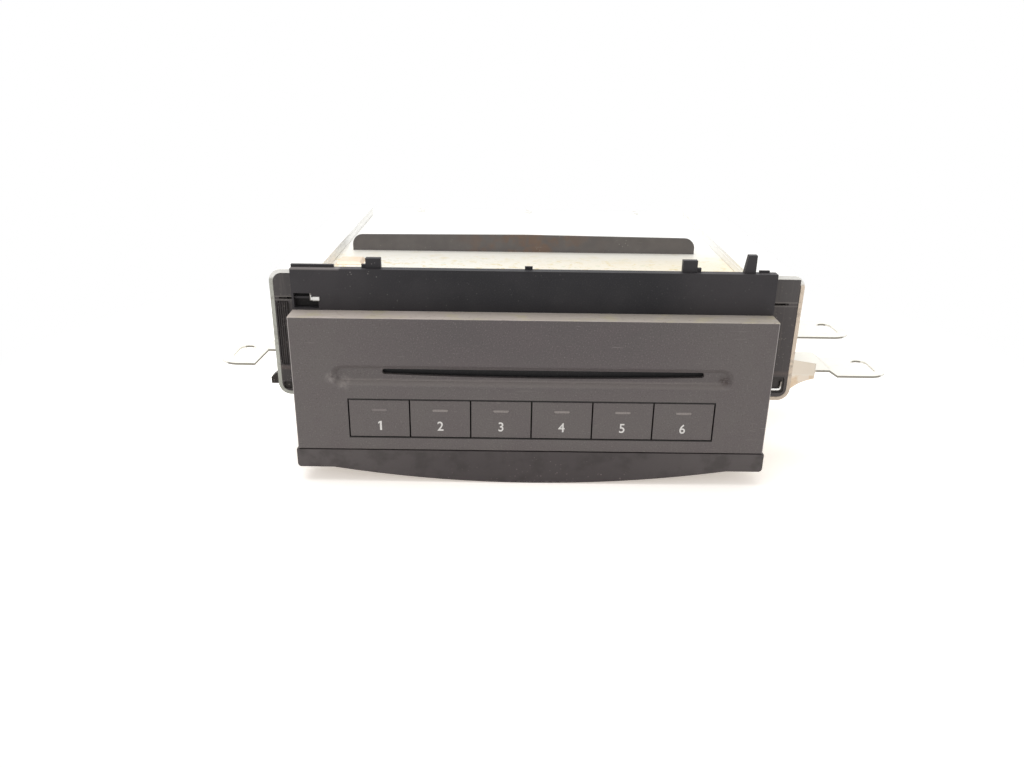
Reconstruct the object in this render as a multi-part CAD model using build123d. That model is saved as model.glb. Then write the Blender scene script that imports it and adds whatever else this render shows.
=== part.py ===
from build123d import *
import os
from math import acos, atan2, cos, degrees, hypot, pi, radians, sin, sqrt, tan

# In-dash changer for six discs, millimetres.
# X runs to the right as the user sees it, Y runs into the dashboard, Z is up.
# The origin is the centre of the housing's bottom face.

# ---------------------------------------------------------------- sizes that drive the model

# sheet housing: a pan with front and rear walls, and a cover that slides over it
housing_width = 178.0
housing_depth = 160.0
housing_height = 80.0
sheet = 0.8
pan_flange = 10.0

# disc path
disc_radius = 60.0
disc_x = 4.3
disc_y = 0.0
slot_z = 47.5

# black frame between housing and bezel, as wide as the bezel
frame_thickness = 4.0
frame_top = 86.4
rim_length = 16.5
rim_height = 1.1
aperture_half = 66.0
aperture_below = 3.5
aperture_above = 6.5

# chin under the bezel
chin_overhang = 0.65
chin_top = 14.3
chin_side_bottom = 6.5
chin_end = 14.65
chin_bottom = 0.2
chin_wall = 2.5
chin_rib = 1.6
chin_ribs = 7

# bezel
bezel_width = 188.0
bezel_height = 55.4
bezel_bottom = 14.6
bezel_depth = 10.0
bezel_face = 2.5
bezel_wall = 2.2
corner_post_radius = 3.0

# shallow dish round the slot
dish_width = 157.5
dish_height = 9.0
dish_centre = 46.4
dish_depth = 2.0
dish_floor_wall = 1.6

# disc slot
slot_width = 126.4
slot_above = 1.3
slot_end_height = 2.2
slot_middle_height = 3.3

# keys
key_count = 6
key_margin = 21.4
key_bottom = 20.3
key_height = 16.1
key_gap = 0.35
key_depth = 5.0
key_wall = 1.4
key_travel = 0.8
key_lip = 0.9
key_lip_thickness = 1.2
key_light_width = 6.3
key_light_height = 1.0
key_light_z = 32.0
key_light_depth = 0.3

# keypad board
board_thickness = 1.6
pad_height = 0.6
switch_size = 6.0
switch_height = 1.4
actuator_height = 0.4
actuator_radius = 1.5

# slot shutter
shutter_pin = 0.8
shutter_barrel = 0.9
shutter_blade = 1.0
shutter_drop = 6.6
shutter_z = 51.8
shutter_behind_dish = 1.2
duct_half = 64.2
duct_wall = 2.5

# clearances
running_clearance = 0.05
loose_clearance = 0.3
post_clearance = 0.35

# side brackets, guide blocks and ears
bracket_sheet = 1.5
bracket_bottom = 31.3
guide_block_height = 50.0
bracket_left = 15.3
bracket_right = 18.3
top_flange_overlap = 4.0
bottom_flange_gap = 1.5
bracket_corner = 5.0
bracket_length = 140.0
bracket_front = 3.0
guide_block_length = 62.0
groove_below_top = 9.7
spacer_length = 24.0
ear_sheet = 0.9
ear_corner = 9.0
ear_hole_radius = 3.5
ear_hole_length = 15.0

# hook plate across the cover
hook_width = 154.7
hook_height = 7.8
hook_sheet = 1.2
hook_y = -23.0
hook_x = -3.2
hook_foot = 14.0
hook_corner = 4.5

# inner levels
main_board_z = 5.0
deck_z = 12.0
deck_sheet = 1.2
damper_radius = 4.5
tray_thickness = 1.5
tray_pitch = 4.0
lower_tray_z = 18.5
play_tray_z = 46.3
upper_tray_z = 60.0

# gears
gear_module = 0.8
pressure_angle = 25.0
gear_backlash = 0.15
gear_addendum = 0.8
gear_dedendum = 1.1
roller_teeth = 14
idler_teeth = 16
pinion_teeth = 10
post_teeth = 12
gear_width = 3.2

# load roller
roller_radius = 4.5
roller_half = 64.5
roller_y = -68.0
roller_z = 42.5
idler_y = -69.5
shaft_radius = 1.5
cheek_offset = 67.0
cheek_sheet = 1.5

# lift
post_radius = 2.5
front_post_out = 72.0
front_post_y = -56.0
rear_post_out = 56.0
rear_post_y = 68.0
post_top = 75.0
rack_half_pitch_width = 3.2
rack_height = 3.0
lift_motor_y = 30.0
lift_motor_radius = 7.0

# swing arm
pivot_x = -74.0
pivot_y = 56.0
pivot_radius = 3.0
arm_plate_z = 38.0
arm_sheet = 1.2
arm_root_radius = 11.0
arm_tip_radius = 12.5
guide_rod_radius = 1.0
guide_rod_offset = 6.5
guide_rod_z = 34.5
screw_radius = 1.25
screw_offset = 9.8
pickup_start = 24.0
pickup_travel = 33.0
pickup_length = 26.0
pickup_overhang = 1.5
hanger_sheet = 2.0
hanger_gap_out = 2.5
hanger_gap_in = 1.3
turntable_radius = 11.0
turntable_top = 45.5
spindle_radius = 1.0
spindle_motor_radius = 9.0
clamp_z = 55.6

# ---------------------------------------------------------------- places worked out from the sizes

half_width = housing_width / 2
frame_width = bezel_width
chin_width = bezel_width + 2 * chin_overhang
chin_arc_half = chin_width / 2 - chin_end
key_span = bezel_width - 2 * key_margin
key_pitch = key_span / key_count
bracket_outer_left = half_width + bracket_left
bracket_outer_right = half_width + bracket_right
bracket_top = bracket_bottom + guide_block_height + 2 * bracket_sheet
front_y = -housing_depth / 2
rear_y = housing_depth / 2
plate_y = front_y - frame_thickness
face_y = plate_y - bezel_depth
bezel_top = bezel_bottom + bezel_height
inner_half = half_width - sheet
key_top = key_bottom + key_height
key_board_back = plate_y - pad_height
key_board_front = key_board_back - board_thickness
dish_floor = face_y + dish_depth
dish_back = dish_floor + dish_floor_wall
shutter_y = dish_back + shutter_behind_dish
duct_bottom = slot_z + slot_above - slot_middle_height - 1.1
duct_top = shutter_z + shutter_barrel + 0.7
deck_top = deck_z + deck_sheet
gear_z = deck_top + 0.2
front_posts = (disc_x - front_post_out, disc_x + front_post_out)
rear_posts = (disc_x - rear_post_out, disc_x + rear_post_out)
rack_x = (front_posts[1] + rear_posts[1]) / 2
arm_length = hypot(disc_x - pivot_x, disc_y - pivot_y)
hanger_far = arm_length - pickup_start + pickup_length / 2 - pickup_overhang + hanger_gap_out
hanger_near = hanger_far - hanger_gap_out - pickup_length - pickup_travel - hanger_gap_in
tooth_pitch = pi * gear_module


def pitch_radius(teeth):
    return gear_module * teeth / 2


# ---------------------------------------------------------------- helpers

def block(x0, x1, y0, y1, z0, z1):
    """A box between two corners."""
    return Pos((x0 + x1) / 2, (y0 + y1) / 2, (z0 + z1) / 2) * Box(x1 - x0, y1 - y0, z1 - z0)


def rod_x(x0, x1, y, z, radius):
    return extrude(Plane(origin=(x0, y, z), z_dir=(1, 0, 0)) * Circle(radius), amount=x1 - x0)


def rod_y(x, y0, y1, z, radius):
    return extrude(Plane(origin=(x, y0, z), z_dir=(0, 1, 0)) * Circle(radius), amount=y1 - y0)


def rod_z(x, y, z0, z1, radius):
    return extrude(Pos(x, y, z0) * Circle(radius), amount=z1 - z0)


def from_front(sketch, y0, y1):
    """Extrude a sketch drawn in X and Z between two depths."""
    plane = Plane(origin=(0, y0, 0), x_dir=(1, 0, 0), z_dir=(0, -1, 0))
    return extrude(plane * sketch, amount=-(y1 - y0))


def from_side(sketch, x0, x1):
    """Extrude a sketch drawn in Y and Z between two places along X."""
    plane = Plane(origin=(x0, 0, 0), x_dir=(0, 1, 0), z_dir=(1, 0, 0))
    return extrude(plane * sketch, amount=x1 - x0)


def from_above(sketch, z0, z1):
    return extrude(Pos(0, 0, z0) * sketch, amount=z1 - z0)


def outline(*points):
    return make_face(Polyline(*points, close=True))


def involute(angle):
    return tan(angle) - angle


def gear_outline(teeth, phase):
    """An involute gear with one tooth centred on the angle phase, in radians."""
    alpha = radians(pressure_angle)
    pitch = pitch_radius(teeth)
    base = pitch * cos(alpha)
    tip = pitch + gear_addendum * gear_module
    root = pitch - gear_dedendum * gear_module
    half_tooth = (tooth_pitch - gear_backlash) / 4 / pitch
    radii = [max(base, root) + (tip - max(base, root)) * step / 3 for step in range(4)]
    flank = [(r, half_tooth + involute(alpha) - involute(acos(min(1, base / r)))) for r in radii]
    if base > root:
        flank.insert(0, (root, flank[0][1]))
    points = []
    for tooth in range(teeth):
        centre = phase + 2 * pi * tooth / teeth
        for r, half in flank:
            points.append((r * cos(centre - half), r * sin(centre - half)))
        for r, half in reversed(flank):
            points.append((r * cos(centre + half), r * sin(centre + half)))
    return outline(*points)


def meshing_phase(own_teeth, other_teeth, other_phase, direction):
    """Phase of a gear that meshes with another, seen from the other gear along an angle."""
    shift = pitch_radius(other_teeth) * (other_phase - direction) - tooth_pitch / 2
    return direction + pi - shift / pitch_radius(own_teeth)


def rack_teeth(x, side, first, count):
    """Rack teeth along Y from the tooth centred on first, on the side +1 or -1 of X."""
    quarter = (tooth_pitch - gear_backlash) / 4
    tip = gear_addendum * gear_module
    foot = gear_dedendum * gear_module + 0.2
    wide = quarter + foot * tan(radians(pressure_angle))
    narrow = quarter - tip * tan(radians(pressure_angle))
    teeth = []
    for number in range(count):
        y = first + number * tooth_pitch
        teeth.append(outline((x - side * foot, y - wide), (x + side * tip, y - narrow),
                             (x + side * tip, y + narrow), (x - side * foot, y + wide)))
    return teeth


def along_arm(distance, offset):
    """A point on the parked arm, from its pivot towards its tip, offset towards the discs."""
    return (pivot_x + offset, pivot_y - distance)


# ---------------------------------------------------------------- bezel, keys and shutter

def slot_sketch():
    top = slot_z + slot_above
    half = slot_width / 2
    low = top - slot_end_height
    middle = top - slot_middle_height
    corner = slot_end_height / 2
    edges = [
        Line((disc_x - half + corner, top), (disc_x + half - corner, top)),
        ThreePointArc((disc_x + half - corner, top), (disc_x + half, top - corner), (disc_x + half - corner, low)),
        ThreePointArc((disc_x + half - corner, low), (disc_x, middle), (disc_x - half + corner, low)),
        ThreePointArc((disc_x - half + corner, low), (disc_x - half, top - corner), (disc_x - half + corner, top)),
    ]
    return make_face(edges)


def bezel():
    body = block(-bezel_width / 2, bezel_width / 2, face_y, plate_y, bezel_bottom, bezel_top)
    front_edges = body.faces().sort_by(Axis.Y)[0].edges()
    body = fillet(front_edges, 0.6)
    body -= block(-bezel_width / 2 + bezel_wall, bezel_width / 2 - bezel_wall, face_y + bezel_face, plate_y,
                  bezel_bottom + bezel_wall, bezel_top - bezel_wall)
    # backing of the dish, and the duct that leads the disc through the frame
    rim = 2 * bezel_wall
    body += from_front(Pos(0, dish_centre) * SlotOverall(dish_width + rim, dish_height + rim),
                       face_y + bezel_face, dish_back)
    body += block(disc_x - duct_half - duct_wall, disc_x + duct_half + duct_wall, dish_back, plate_y,
                  duct_bottom - duct_wall, duct_top + duct_wall)
    body -= block(disc_x - duct_half, disc_x + duct_half, dish_back, plate_y, duct_bottom, duct_top)
    mouth = Plane(origin=(0, face_y, 0), x_dir=(1, 0, 0), z_dir=(0, -1, 0))
    floor = Plane(origin=(0, dish_floor, 0), x_dir=(1, 0, 0), z_dir=(0, -1, 0))
    dish = loft([mouth * Pos(0, dish_centre) * SlotOverall(dish_width, dish_height),
                 floor * Pos(0, dish_centre) * SlotOverall(dish_width - 2 * dish_depth, dish_height - 2 * dish_depth)])
    body -= dish
    body -= from_front(slot_sketch(), dish_floor - dish_depth, dish_back + dish_depth)
    # window for the row of keys
    body -= block(-key_span / 2 - key_gap / 2, key_span / 2 + key_gap / 2, face_y - 1, face_y + bezel_face,
                  key_bottom, key_top)
    # bearings of the shutter
    body -= rod_x(disc_x - duct_half - duct_wall, disc_x + duct_half + duct_wall, shutter_y, shutter_z,
                  shutter_pin + running_clearance)
    # posts that locate the bezel on the frame, grown into its corners
    inset = bezel_wall + corner_post_radius / 2
    for x in (-bezel_width / 2 + inset, bezel_width / 2 - inset):
        for z in (bezel_bottom + inset, bezel_top - inset):
            body += rod_y(x, face_y + bezel_face, plate_y, z, corner_post_radius)
    return body


def key(number):
    centre = (number - (key_count + 1) / 2) * key_pitch
    half = (key_pitch - key_gap) / 2
    low = key_bottom + key_gap / 2
    high = key_top - key_gap / 2
    cap = block(centre - half, centre + half, face_y, face_y + key_depth, low, high)
    cap = fillet(cap.faces().sort_by(Axis.Y)[0].edges(), 0.3)
    cap -= block(centre - half + key_wall, centre + half - key_wall, face_y + key_wall, face_y + key_depth,
                 low + key_wall, high - key_wall)
    # lips above and below hook behind the bezel's face
    lip_front = face_y + bezel_face + 0.1
    for z0, z1 in ((low - key_lip, low), (high, high + key_lip)):
        cap += block(centre - half / 2, centre + half / 2, lip_front, lip_front + key_lip_thickness, z0, z1)
    cap += rod_y(centre, face_y + key_wall, key_board_front - switch_height - actuator_height - key_travel - 0.1,
                 (key_bottom + key_top) / 2 - 2.2, 2.0)
    cap -= block(centre - key_light_width / 2, centre + key_light_width / 2, face_y, face_y + key_light_depth,
                 key_light_z - key_light_height / 2, key_light_z + key_light_height / 2)
    return cap


def shutter():
    half = duct_half - loose_clearance
    flap = rod_x(disc_x - half, disc_x + half, shutter_y, shutter_z, shutter_barrel)
    flap += block(disc_x - half, disc_x + half, shutter_y - shutter_blade / 2, shutter_y + shutter_blade / 2,
                  shutter_z - shutter_drop, shutter_z)
    flap += rod_x(disc_x - duct_half - duct_wall + 0.4, disc_x + duct_half + duct_wall - 0.4, shutter_y, shutter_z,
                  shutter_pin)
    return flap


def keypad_board():
    return block(-key_span / 2 - 1, key_span / 2 + 1, key_board_front, key_board_back, key_bottom, key_top)


def key_centres():
    return [(number - (key_count + 1) / 2) * key_pitch for number in range(1, key_count + 1)]


def key_switches():
    z = (key_bottom + key_top) / 2 - 2.2
    switches = []
    for x in key_centres():
        case = block(x - switch_size / 2, x + switch_size / 2, key_board_front - switch_height, key_board_front,
                     z - switch_size / 2, z + switch_size / 2)
        front = key_board_front - switch_height
        switches.append(case + rod_y(x, front - actuator_height, front, z, actuator_radius))
    return Compound(switches)


def key_lights():
    lamps = []
    for x in key_centres():
        lamps.append(block(x - 1.6, x + 1.6, key_board_front - 1.0, key_board_front, key_light_z - 0.8,
                           key_light_z + 0.8))
    return Compound(lamps)


# ---------------------------------------------------------------- frame, chin and clip

notch_wall = 0.8
notch_width = 9.5
notch_height = 5.9
notch_step = 2.7
notch_bar = 0.9
notch_left = -frame_width / 2 + notch_wall
notch_right = notch_left + notch_width
notch_bottom = bezel_top + notch_wall
notch_top = notch_bottom + notch_height
bar_top = notch_top - 1.6
tab_thickness = 2.5


def chin_sketch():
    half = chin_width / 2
    corner = 1.5
    edges = [
        Line((-half, chin_top), (half, chin_top)),
        Line((half, chin_top), (half, chin_side_bottom + corner)),
        ThreePointArc((half, chin_side_bottom + corner), (half - 0.3 * corner, chin_side_bottom + 0.3 * corner),
                      (half - corner, chin_side_bottom)),
        Line((half - corner, chin_side_bottom), (chin_arc_half, chin_side_bottom)),
        ThreePointArc((chin_arc_half, chin_side_bottom), (0, chin_bottom), (-chin_arc_half, chin_side_bottom)),
        Line((-chin_arc_half, chin_side_bottom), (-half + corner, chin_side_bottom)),
        ThreePointArc((-half + corner, chin_side_bottom), (-half + 0.3 * corner, chin_side_bottom + 0.3 * corner),
                      (-half, chin_side_bottom + corner)),
        Line((-half, chin_side_bottom + corner), (-half, chin_top)),
    ]
    return make_face(edges)


def front_frame():
    half = frame_width / 2
    plate = block(-half, half, plate_y, front_y, chin_side_bottom, frame_top)
    chin = from_front(chin_sketch(), face_y, front_y)
    bay = (chin_width - chin_rib) / (chin_ribs - 1)
    for number in range(chin_ribs - 1):
        left = -chin_width / 2 + chin_rib + number * bay
        chin -= block(left, left + bay - chin_rib, face_y + chin_wall, plate_y, chin_bottom - 1, chin_top + 1)
    plate += chin
    # tabs on the top edge with a small step beside each, and the last one with a slanted side
    tab_y = front_y - tab_thickness
    for x, wide, high, step in ((-half + 32.0, 5.8, 4.0, -1), (half - 33.9, 5.6, 4.7, 1)):
        plate += block(x - wide / 2, x + wide / 2, tab_y, front_y, frame_top - 1, frame_top + high)
        s0, s1 = sorted((x + step * wide / 2, x + step * (wide / 2 + 1.8)))
        plate += block(s0, s1, tab_y + 1, front_y, frame_top - 1, frame_top + high / 3)
    slanted = outline((half - 13.0, frame_top - 1), (half - 8.4, frame_top - 1), (half - 8.4, frame_top + 7),
                      (half - 11.7, frame_top + 7))
    plate += from_front(slanted, tab_y, front_y)
    plate += block(half - 6.6, half - 2.6, front_y - 1, front_y, frame_top - 1, frame_top + 0.8)
    plate += block(-3.5, -0.5, front_y - 1, front_y, frame_top - 1, frame_top + 1.2)
    plate += block(-half, -half + rim_length, front_y - 1.5, front_y, frame_top - 1, frame_top + rim_height)
    # disc path, notch with its bar, and pads for the keypad board
    plate -= block(disc_x - aperture_half, disc_x + aperture_half, plate_y - 1, front_y + 1,
                   slot_z - aperture_below, slot_z + aperture_above)
    plate -= block(notch_left, notch_right, plate_y - 1, front_y + 1, notch_bottom, bar_top)
    plate -= block(notch_left, notch_right - notch_step, plate_y - 1, front_y + 1, notch_bottom, notch_top)
    plate += block(notch_left, notch_right, plate_y + 1.5, plate_y + 3, bar_top - notch_bar, bar_top)
    for x in (-key_span / 2, -key_pitch / 2, key_pitch / 2, key_span / 2):
        for z in (key_bottom + 1.5, key_top - 1.5):
            plate += rod_y(x * 0.98, plate_y - pad_height, plate_y, z, 1.5)
    return plate


def frame_clip():
    """A small bright clip pressed into the notch, against its bar and its step."""
    gauge = 0.6
    step = notch_right - notch_step
    clip = block(step - gauge, notch_right, plate_y, plate_y + 1.5, bar_top - 1.4, bar_top)
    clip += block(step + gauge, notch_right + gauge, plate_y - gauge, plate_y, bar_top - 1.4, bar_top + 0.3)
    clip = fillet(clip.faces().sort_by(Axis.Y)[0].edges().filter_by(Axis.Z), 0.25)
    return clip + block(step - gauge, step, plate_y, plate_y + 1.5, bar_top - 1.4, notch_top)


# ---------------------------------------------------------------- sheet housing

screw_shank = 1.3
screw_head = 2.6
screw_head_height = 1.4
side_screw_y = (-55.0, 0.0, 55.0)
side_screw_z = 5.4
top_screw_x = (-60.0, 0.0, 60.0)
top_screw_inset = 5.0
connector_x = -48.0
connector_z = 34.0
connector_width = 38.0
connector_height = 14.0
connector_depth = 12.0
pad_rise = 1.2


def chassis_pan():
    pan = block(-inner_half, inner_half, front_y, rear_y, 0, sheet)
    for side in (-1, 1):
        x0, x1 = sorted((side * inner_half, side * (inner_half - sheet)))
        pan += block(x0, x1, front_y, rear_y, 0, pan_flange + sheet)
    top = housing_height - sheet
    pan += block(-inner_half, inner_half, front_y, front_y + sheet, 0, top)
    pan += block(-inner_half, inner_half, rear_y - sheet, rear_y, 0, top)
    pan += block(-inner_half, inner_half, rear_y - 2 * top_screw_inset, rear_y, top - sheet, top)
    pan += block(-inner_half, inner_half, front_y, front_y + top_screw_inset, top - sheet, top)
    pan -= block(disc_x - aperture_half, disc_x + aperture_half, front_y - 1, front_y + 2,
                 slot_z - aperture_below, slot_z + aperture_above)
    pan -= block(connector_x - connector_width / 2 + 1.5, connector_x + connector_width / 2 - 1.5, rear_y - 2,
                 rear_y + 1, connector_z - connector_height / 2 + 1.5, connector_z + connector_height / 2 - 1.5)
    for x in (-1, 1):
        for y in (-1, 1):
            pan += rod_z(x * 79.0, y * 71.0, sheet, main_board_z, 3.0)
    for y in side_screw_y:
        pan -= rod_x(-half_width, half_width, y, side_screw_z, screw_shank)
    for x in top_screw_x:
        pan -= rod_z(x, rear_y - top_screw_inset, top - sheet - 1, top + 1, screw_shank)
    # vent slots in the rear wall
    for number in range(7):
        x = 20 + number * 8.0
        pan -= from_front(Pos(x, housing_height / 2 + 15) * Rot(0, 0, 90) * SlotOverall(20, 2.4), rear_y - 2, rear_y + 1)
    return pan


def top_cover():
    top = housing_height
    cover = block(-half_width, half_width, front_y, rear_y, top - sheet, top)
    for side in (-1, 1):
        x0, x1 = sorted((side * half_width, side * inner_half))
        cover += block(x0, x1, front_y, rear_y, 0.4, top)
    # pad pressed up near the front left corner
    pad = block(-half_width + 6, -half_width + 17, front_y + 29, front_y + 40, top - sheet, top + pad_rise)
    cover += chamfer(pad.faces().sort_by(Axis.Z)[-1].edges(), pad_rise * 0.9)
    for y in side_screw_y:
        cover -= rod_x(-half_width - 1, half_width + 1, y, side_screw_z, screw_shank)
    for y in bracket_screw_y:
        cover -= rod_x(-half_width - 1, half_width + 1, y, bracket_screw_z, screw_shank)
    for x in top_screw_x:
        cover -= rod_z(x, rear_y - top_screw_inset, top - sheet - 1, top + 1, screw_shank)
    return cover


def screw_x(side, x, y, z, length):
    """A pan-head screw with its head's seat at x, pointing inwards from the side -1 or +1."""
    x0, x1 = sorted((x, x - side * length))
    h0, h1 = sorted((x, x + side * screw_head_height))
    return rod_x(x0, x1, y, z, screw_shank - 0.05) + rod_x(h0, h1, y, z, screw_head)


def housing_screws():
    screws = []
    for side in (-1, 1):
        for y in side_screw_y:
            screws.append(screw_x(side, side * half_width, y, side_screw_z, 4.0))
    for x in top_screw_x:
        y = rear_y - top_screw_inset
        screws.append(rod_z(x, y, housing_height - 4, housing_height, screw_shank - 0.05)
                      + rod_z(x, y, housing_height, housing_height + screw_head_height, screw_head))
    return Compound(screws)


def top_hook_plate():
    half = hook_width / 2
    top = housing_height
    face = outline((hook_x - half, top), (hook_x + half, top), (hook_x + half, top + hook_height - 0.7),
                   (hook_x, top + hook_height), (hook_x - half, top + hook_height - 0.7))
    blade = from_front(face, hook_y, hook_y + hook_sheet)
    corners = blade.edges().filter_by(Axis.Y).group_by(Axis.Z)[-2]
    blade = fillet(corners, hook_corner)
    foot = block(hook_x - half, hook_x + half, hook_y, hook_y + hook_foot, top, top + hook_sheet)
    return blade + foot


def rear_connector():
    left = connector_x - connector_width / 2
    right = connector_x + connector_width / 2
    low = connector_z - connector_height / 2
    high = connector_z + connector_height / 2
    shell = block(left, right, rear_y, rear_y + connector_depth, low, high)
    shell -= block(left + 1.5, right - 1.5, rear_y + 2, rear_y + connector_depth, low + 1.5, high - 1.5)
    for row in (-1, 1):
        for number in range(8):
            x = connector_x + (number - 3.5) * 4.0
            shell += block(x - 0.5, x + 0.5, rear_y + 2, rear_y + 4.6, connector_z + row * 2.5 - 0.5,
                           connector_z + row * 2.5 + 0.5)
    shell += block(left + 2, right - 2, rear_y - 3, rear_y, low + 2, high - 2)
    return shell


# ---------------------------------------------------------------- brackets, guide blocks and ears

bracket_y = front_y + bracket_front
bracket_screw_y = (-20.0, 40.0)
bracket_screw_z = 60.0
latch_reach = 3.6
latch_height = 5.4
latch_length = 5.0


def rounded_outside(solid, side, radius):
    """Round the two long edges on the outer side of a solid that runs along the housing."""
    edges = solid.edges().filter_by(Axis.Y).sort_by(Axis.X)
    return fillet(edges[:2] if side < 0 else edges[-2:], radius)


def bracket(side, outer):
    """A C-shaped sheet along the housing's side; side is -1 or +1."""
    top_end = side * (half_width - top_flange_overlap)
    bottom_end = side * (half_width + bottom_flange_gap)
    length = (bracket_y, bracket_y + bracket_length)
    solid = from_front(outline((bottom_end, bracket_bottom), (side * outer, bracket_bottom), (side * outer, bracket_top),
                               (top_end, bracket_top)), *length)
    solid = rounded_outside(solid, side, bracket_corner)
    inner = from_front(outline((side, bracket_bottom + bracket_sheet),
                               (side * (outer - bracket_sheet), bracket_bottom + bracket_sheet),
                               (side * (outer - bracket_sheet), bracket_top - bracket_sheet),
                               (side, bracket_top - bracket_sheet)), *length)
    solid -= rounded_outside(inner, side, bracket_corner - bracket_sheet)
    x0, x1 = sorted((side * (outer - bracket_sheet - 1), side * (outer + 1)))
    for y in bracket_screw_y:
        solid -= rod_x(x0, x1, y, bracket_screw_z, screw_shank)
    # slot for the adjustment of the bracket's place, between the two screws
    slot = Pos(sum(bracket_screw_y) / 2, bracket_screw_z + 10) * SlotOverall(26, 4)
    solid -= from_side(slot, x0, x1)
    if side < 0:
        y, z = latch_corner()
        solid -= block(x0, x1, y - loose_clearance, y + latch_length + loose_clearance, z - loose_clearance,
                       z + latch_height + loose_clearance)
    return solid


def latch_corner():
    """The front bottom corner of the latch that reaches out through the left bracket, along Y and Z."""
    return (bracket_y + 2.5, bracket_bottom + bracket_sheet + 2.3)


def guide_block(side, outer):
    """The moulded block inside the bracket's front, cored from behind, and the spacer at its rear screw."""
    inside = outer - bracket_sheet
    low = bracket_bottom + bracket_sheet
    high = bracket_top - bracket_sheet
    x0, x1 = sorted((side * half_width, side * inside))
    y0 = bracket_y + 0.5
    y1 = y0 + guide_block_length
    solid = rounded_outside(block(x0, x1, y0, y1, low, high), side, bracket_corner - bracket_sheet)
    # shallow groove across the front, where the block's upper half was moulded against a slide
    groove = high - groove_below_top
    groove_ends = sorted((side * half_width, side * (inside - 5)))
    solid -= block(*groove_ends, y0 - 1, y0 + 1.2, groove - 0.9, groove)
    core_x0, core_x1 = sorted((side * (half_width + 3), side * (inside - 3)))
    solid -= block(core_x0, core_x1, y0 + 8, bracket_screw_y[0] - 6, low + 3, high - 3)
    solid -= block(core_x0, core_x1, bracket_screw_y[0] - 7, y1 + 1, low + 3, bracket_screw_z - 5)
    if side < 0:
        y, z = latch_corner()
        ramp = outline((-inside + 1, z), (-outer - latch_reach, z), (-outer - latch_reach, z + latch_height / 2),
                       (-outer, z + latch_height), (-inside + 1, z + latch_height))
        solid += from_front(ramp, y, y + latch_length)
    spacer = block(x0, x1, bracket_screw_y[1] - spacer_length / 2, bracket_screw_y[1] + spacer_length / 2,
                   bracket_screw_z - 8, bracket_screw_z + 8)
    for y in bracket_screw_y:
        solid -= rod_x(x0, x1, y, bracket_screw_z, screw_shank)
        spacer -= rod_x(x0, x1, y, bracket_screw_z, screw_shank)
    return Compound([solid, spacer])


def bracket_screws():
    screws = []
    for side, outer in ((-1, bracket_outer_left), (1, bracket_outer_right)):
        for y in bracket_screw_y:
            screws.append(screw_x(side, side * outer, y, bracket_screw_z, outer - half_width + 2))
    return Compound(screws)


# each ear: how far its hole and its tip stand off the bracket, the height of its root and of its end,
# the place of its hole along Y, and the flat and sloping lengths of its joggle
left_ear_hole = 19.0
left_ear_tip = 26.7
left_ear_root = 48.3
left_ear_z = 42.0
left_ear_y = -57.5
left_ear_flat = 4.3
left_ear_slope = 6.4
left_ear_width = 29.0
right_ear_hole = 35.2
right_ear_tip = 43.2
right_ear_root = 42.6
right_ear_z = 40.2
right_ear_y = -62.0
right_ear_flat = 16.7
right_ear_slope = 3.7
right_ear_width = 22.6
ear_spacing = 45.0
ear_rise = 2.4
ear_flange = 7.0
gusset_reach = 10.8
gusset_drop = 9.0


def ear(side, outer, root_z, hole, hole_y, tip, end_z, width, root_width, flat, slope):
    """A sheet ear: flange against the bracket, joggle, then a flat rounded end with a slotted hole."""
    root_x = side * outer
    tip_x = side * (outer + tip)
    under = [(root_x, root_z), (side * (outer + flat), root_z), (side * (outer + flat + slope), end_z), (tip_x, end_z)]
    upper = [(x, z + ear_sheet) for x, z in reversed(under)]
    strip = from_front(outline(*under, *upper), hole_y - width / 2, hole_y + width / 2)
    waist_x = side * (outer + flat)
    plan = outline((root_x, hole_y - root_width / 2), (waist_x, hole_y - width / 2), (tip_x, hole_y - width / 2),
                   (tip_x, hole_y + width / 2), (waist_x, hole_y + width / 2), (root_x, hole_y + root_width / 2))
    trim = from_above(plan, min(root_z, end_z) - 1, max(root_z, end_z) + 2 * ear_sheet)
    tip_edges = trim.edges().filter_by(Axis.Z).sort_by(Axis.X)
    trim = fillet(tip_edges[:2] if side < 0 else tip_edges[-2:], ear_corner)
    strip = strip & trim
    hole_shape = Pos(side * (outer + hole), hole_y) * Rot(0, 0, 90) * SlotOverall(ear_hole_length, 2 * ear_hole_radius)
    strip -= from_above(hole_shape, end_z - 1, end_z + 2 * ear_sheet)
    f0, f1 = sorted((root_x, root_x + side * ear_sheet))
    return strip + block(f0, f1, hole_y - root_width / 2, hole_y + root_width / 2, root_z - ear_flange,
                         root_z + ear_sheet)


def ear_left():
    return ear(-1, bracket_outer_left, left_ear_root, left_ear_hole, left_ear_y, left_ear_tip, left_ear_z,
               left_ear_width, left_ear_width, left_ear_flat, left_ear_slope)


def ear_right_front():
    body = ear(1, bracket_outer_right, right_ear_root, right_ear_hole, right_ear_y, right_ear_tip, right_ear_z,
               right_ear_width, right_ear_width, right_ear_flat, right_ear_slope)
    # upright gusset at the front edge, its lower side hollowed
    root = bracket_outer_right
    y = right_ear_y - right_ear_width / 2
    gusset = make_face([
        Line((root, right_ear_root + 5.4), (root + gusset_reach, right_ear_root + 3.7)),
        Line((root + gusset_reach, right_ear_root + 3.7), (root + gusset_reach, right_ear_root - 3.0)),
        ThreePointArc((root + gusset_reach, right_ear_root - 3.0), (root + gusset_reach / 2, right_ear_root - 4.8),
                      (root, right_ear_root - gusset_drop)),
        Line((root, right_ear_root - gusset_drop), (root, right_ear_root + 5.4)),
    ])
    return body + from_front(gusset, y, y + ear_sheet)


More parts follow.
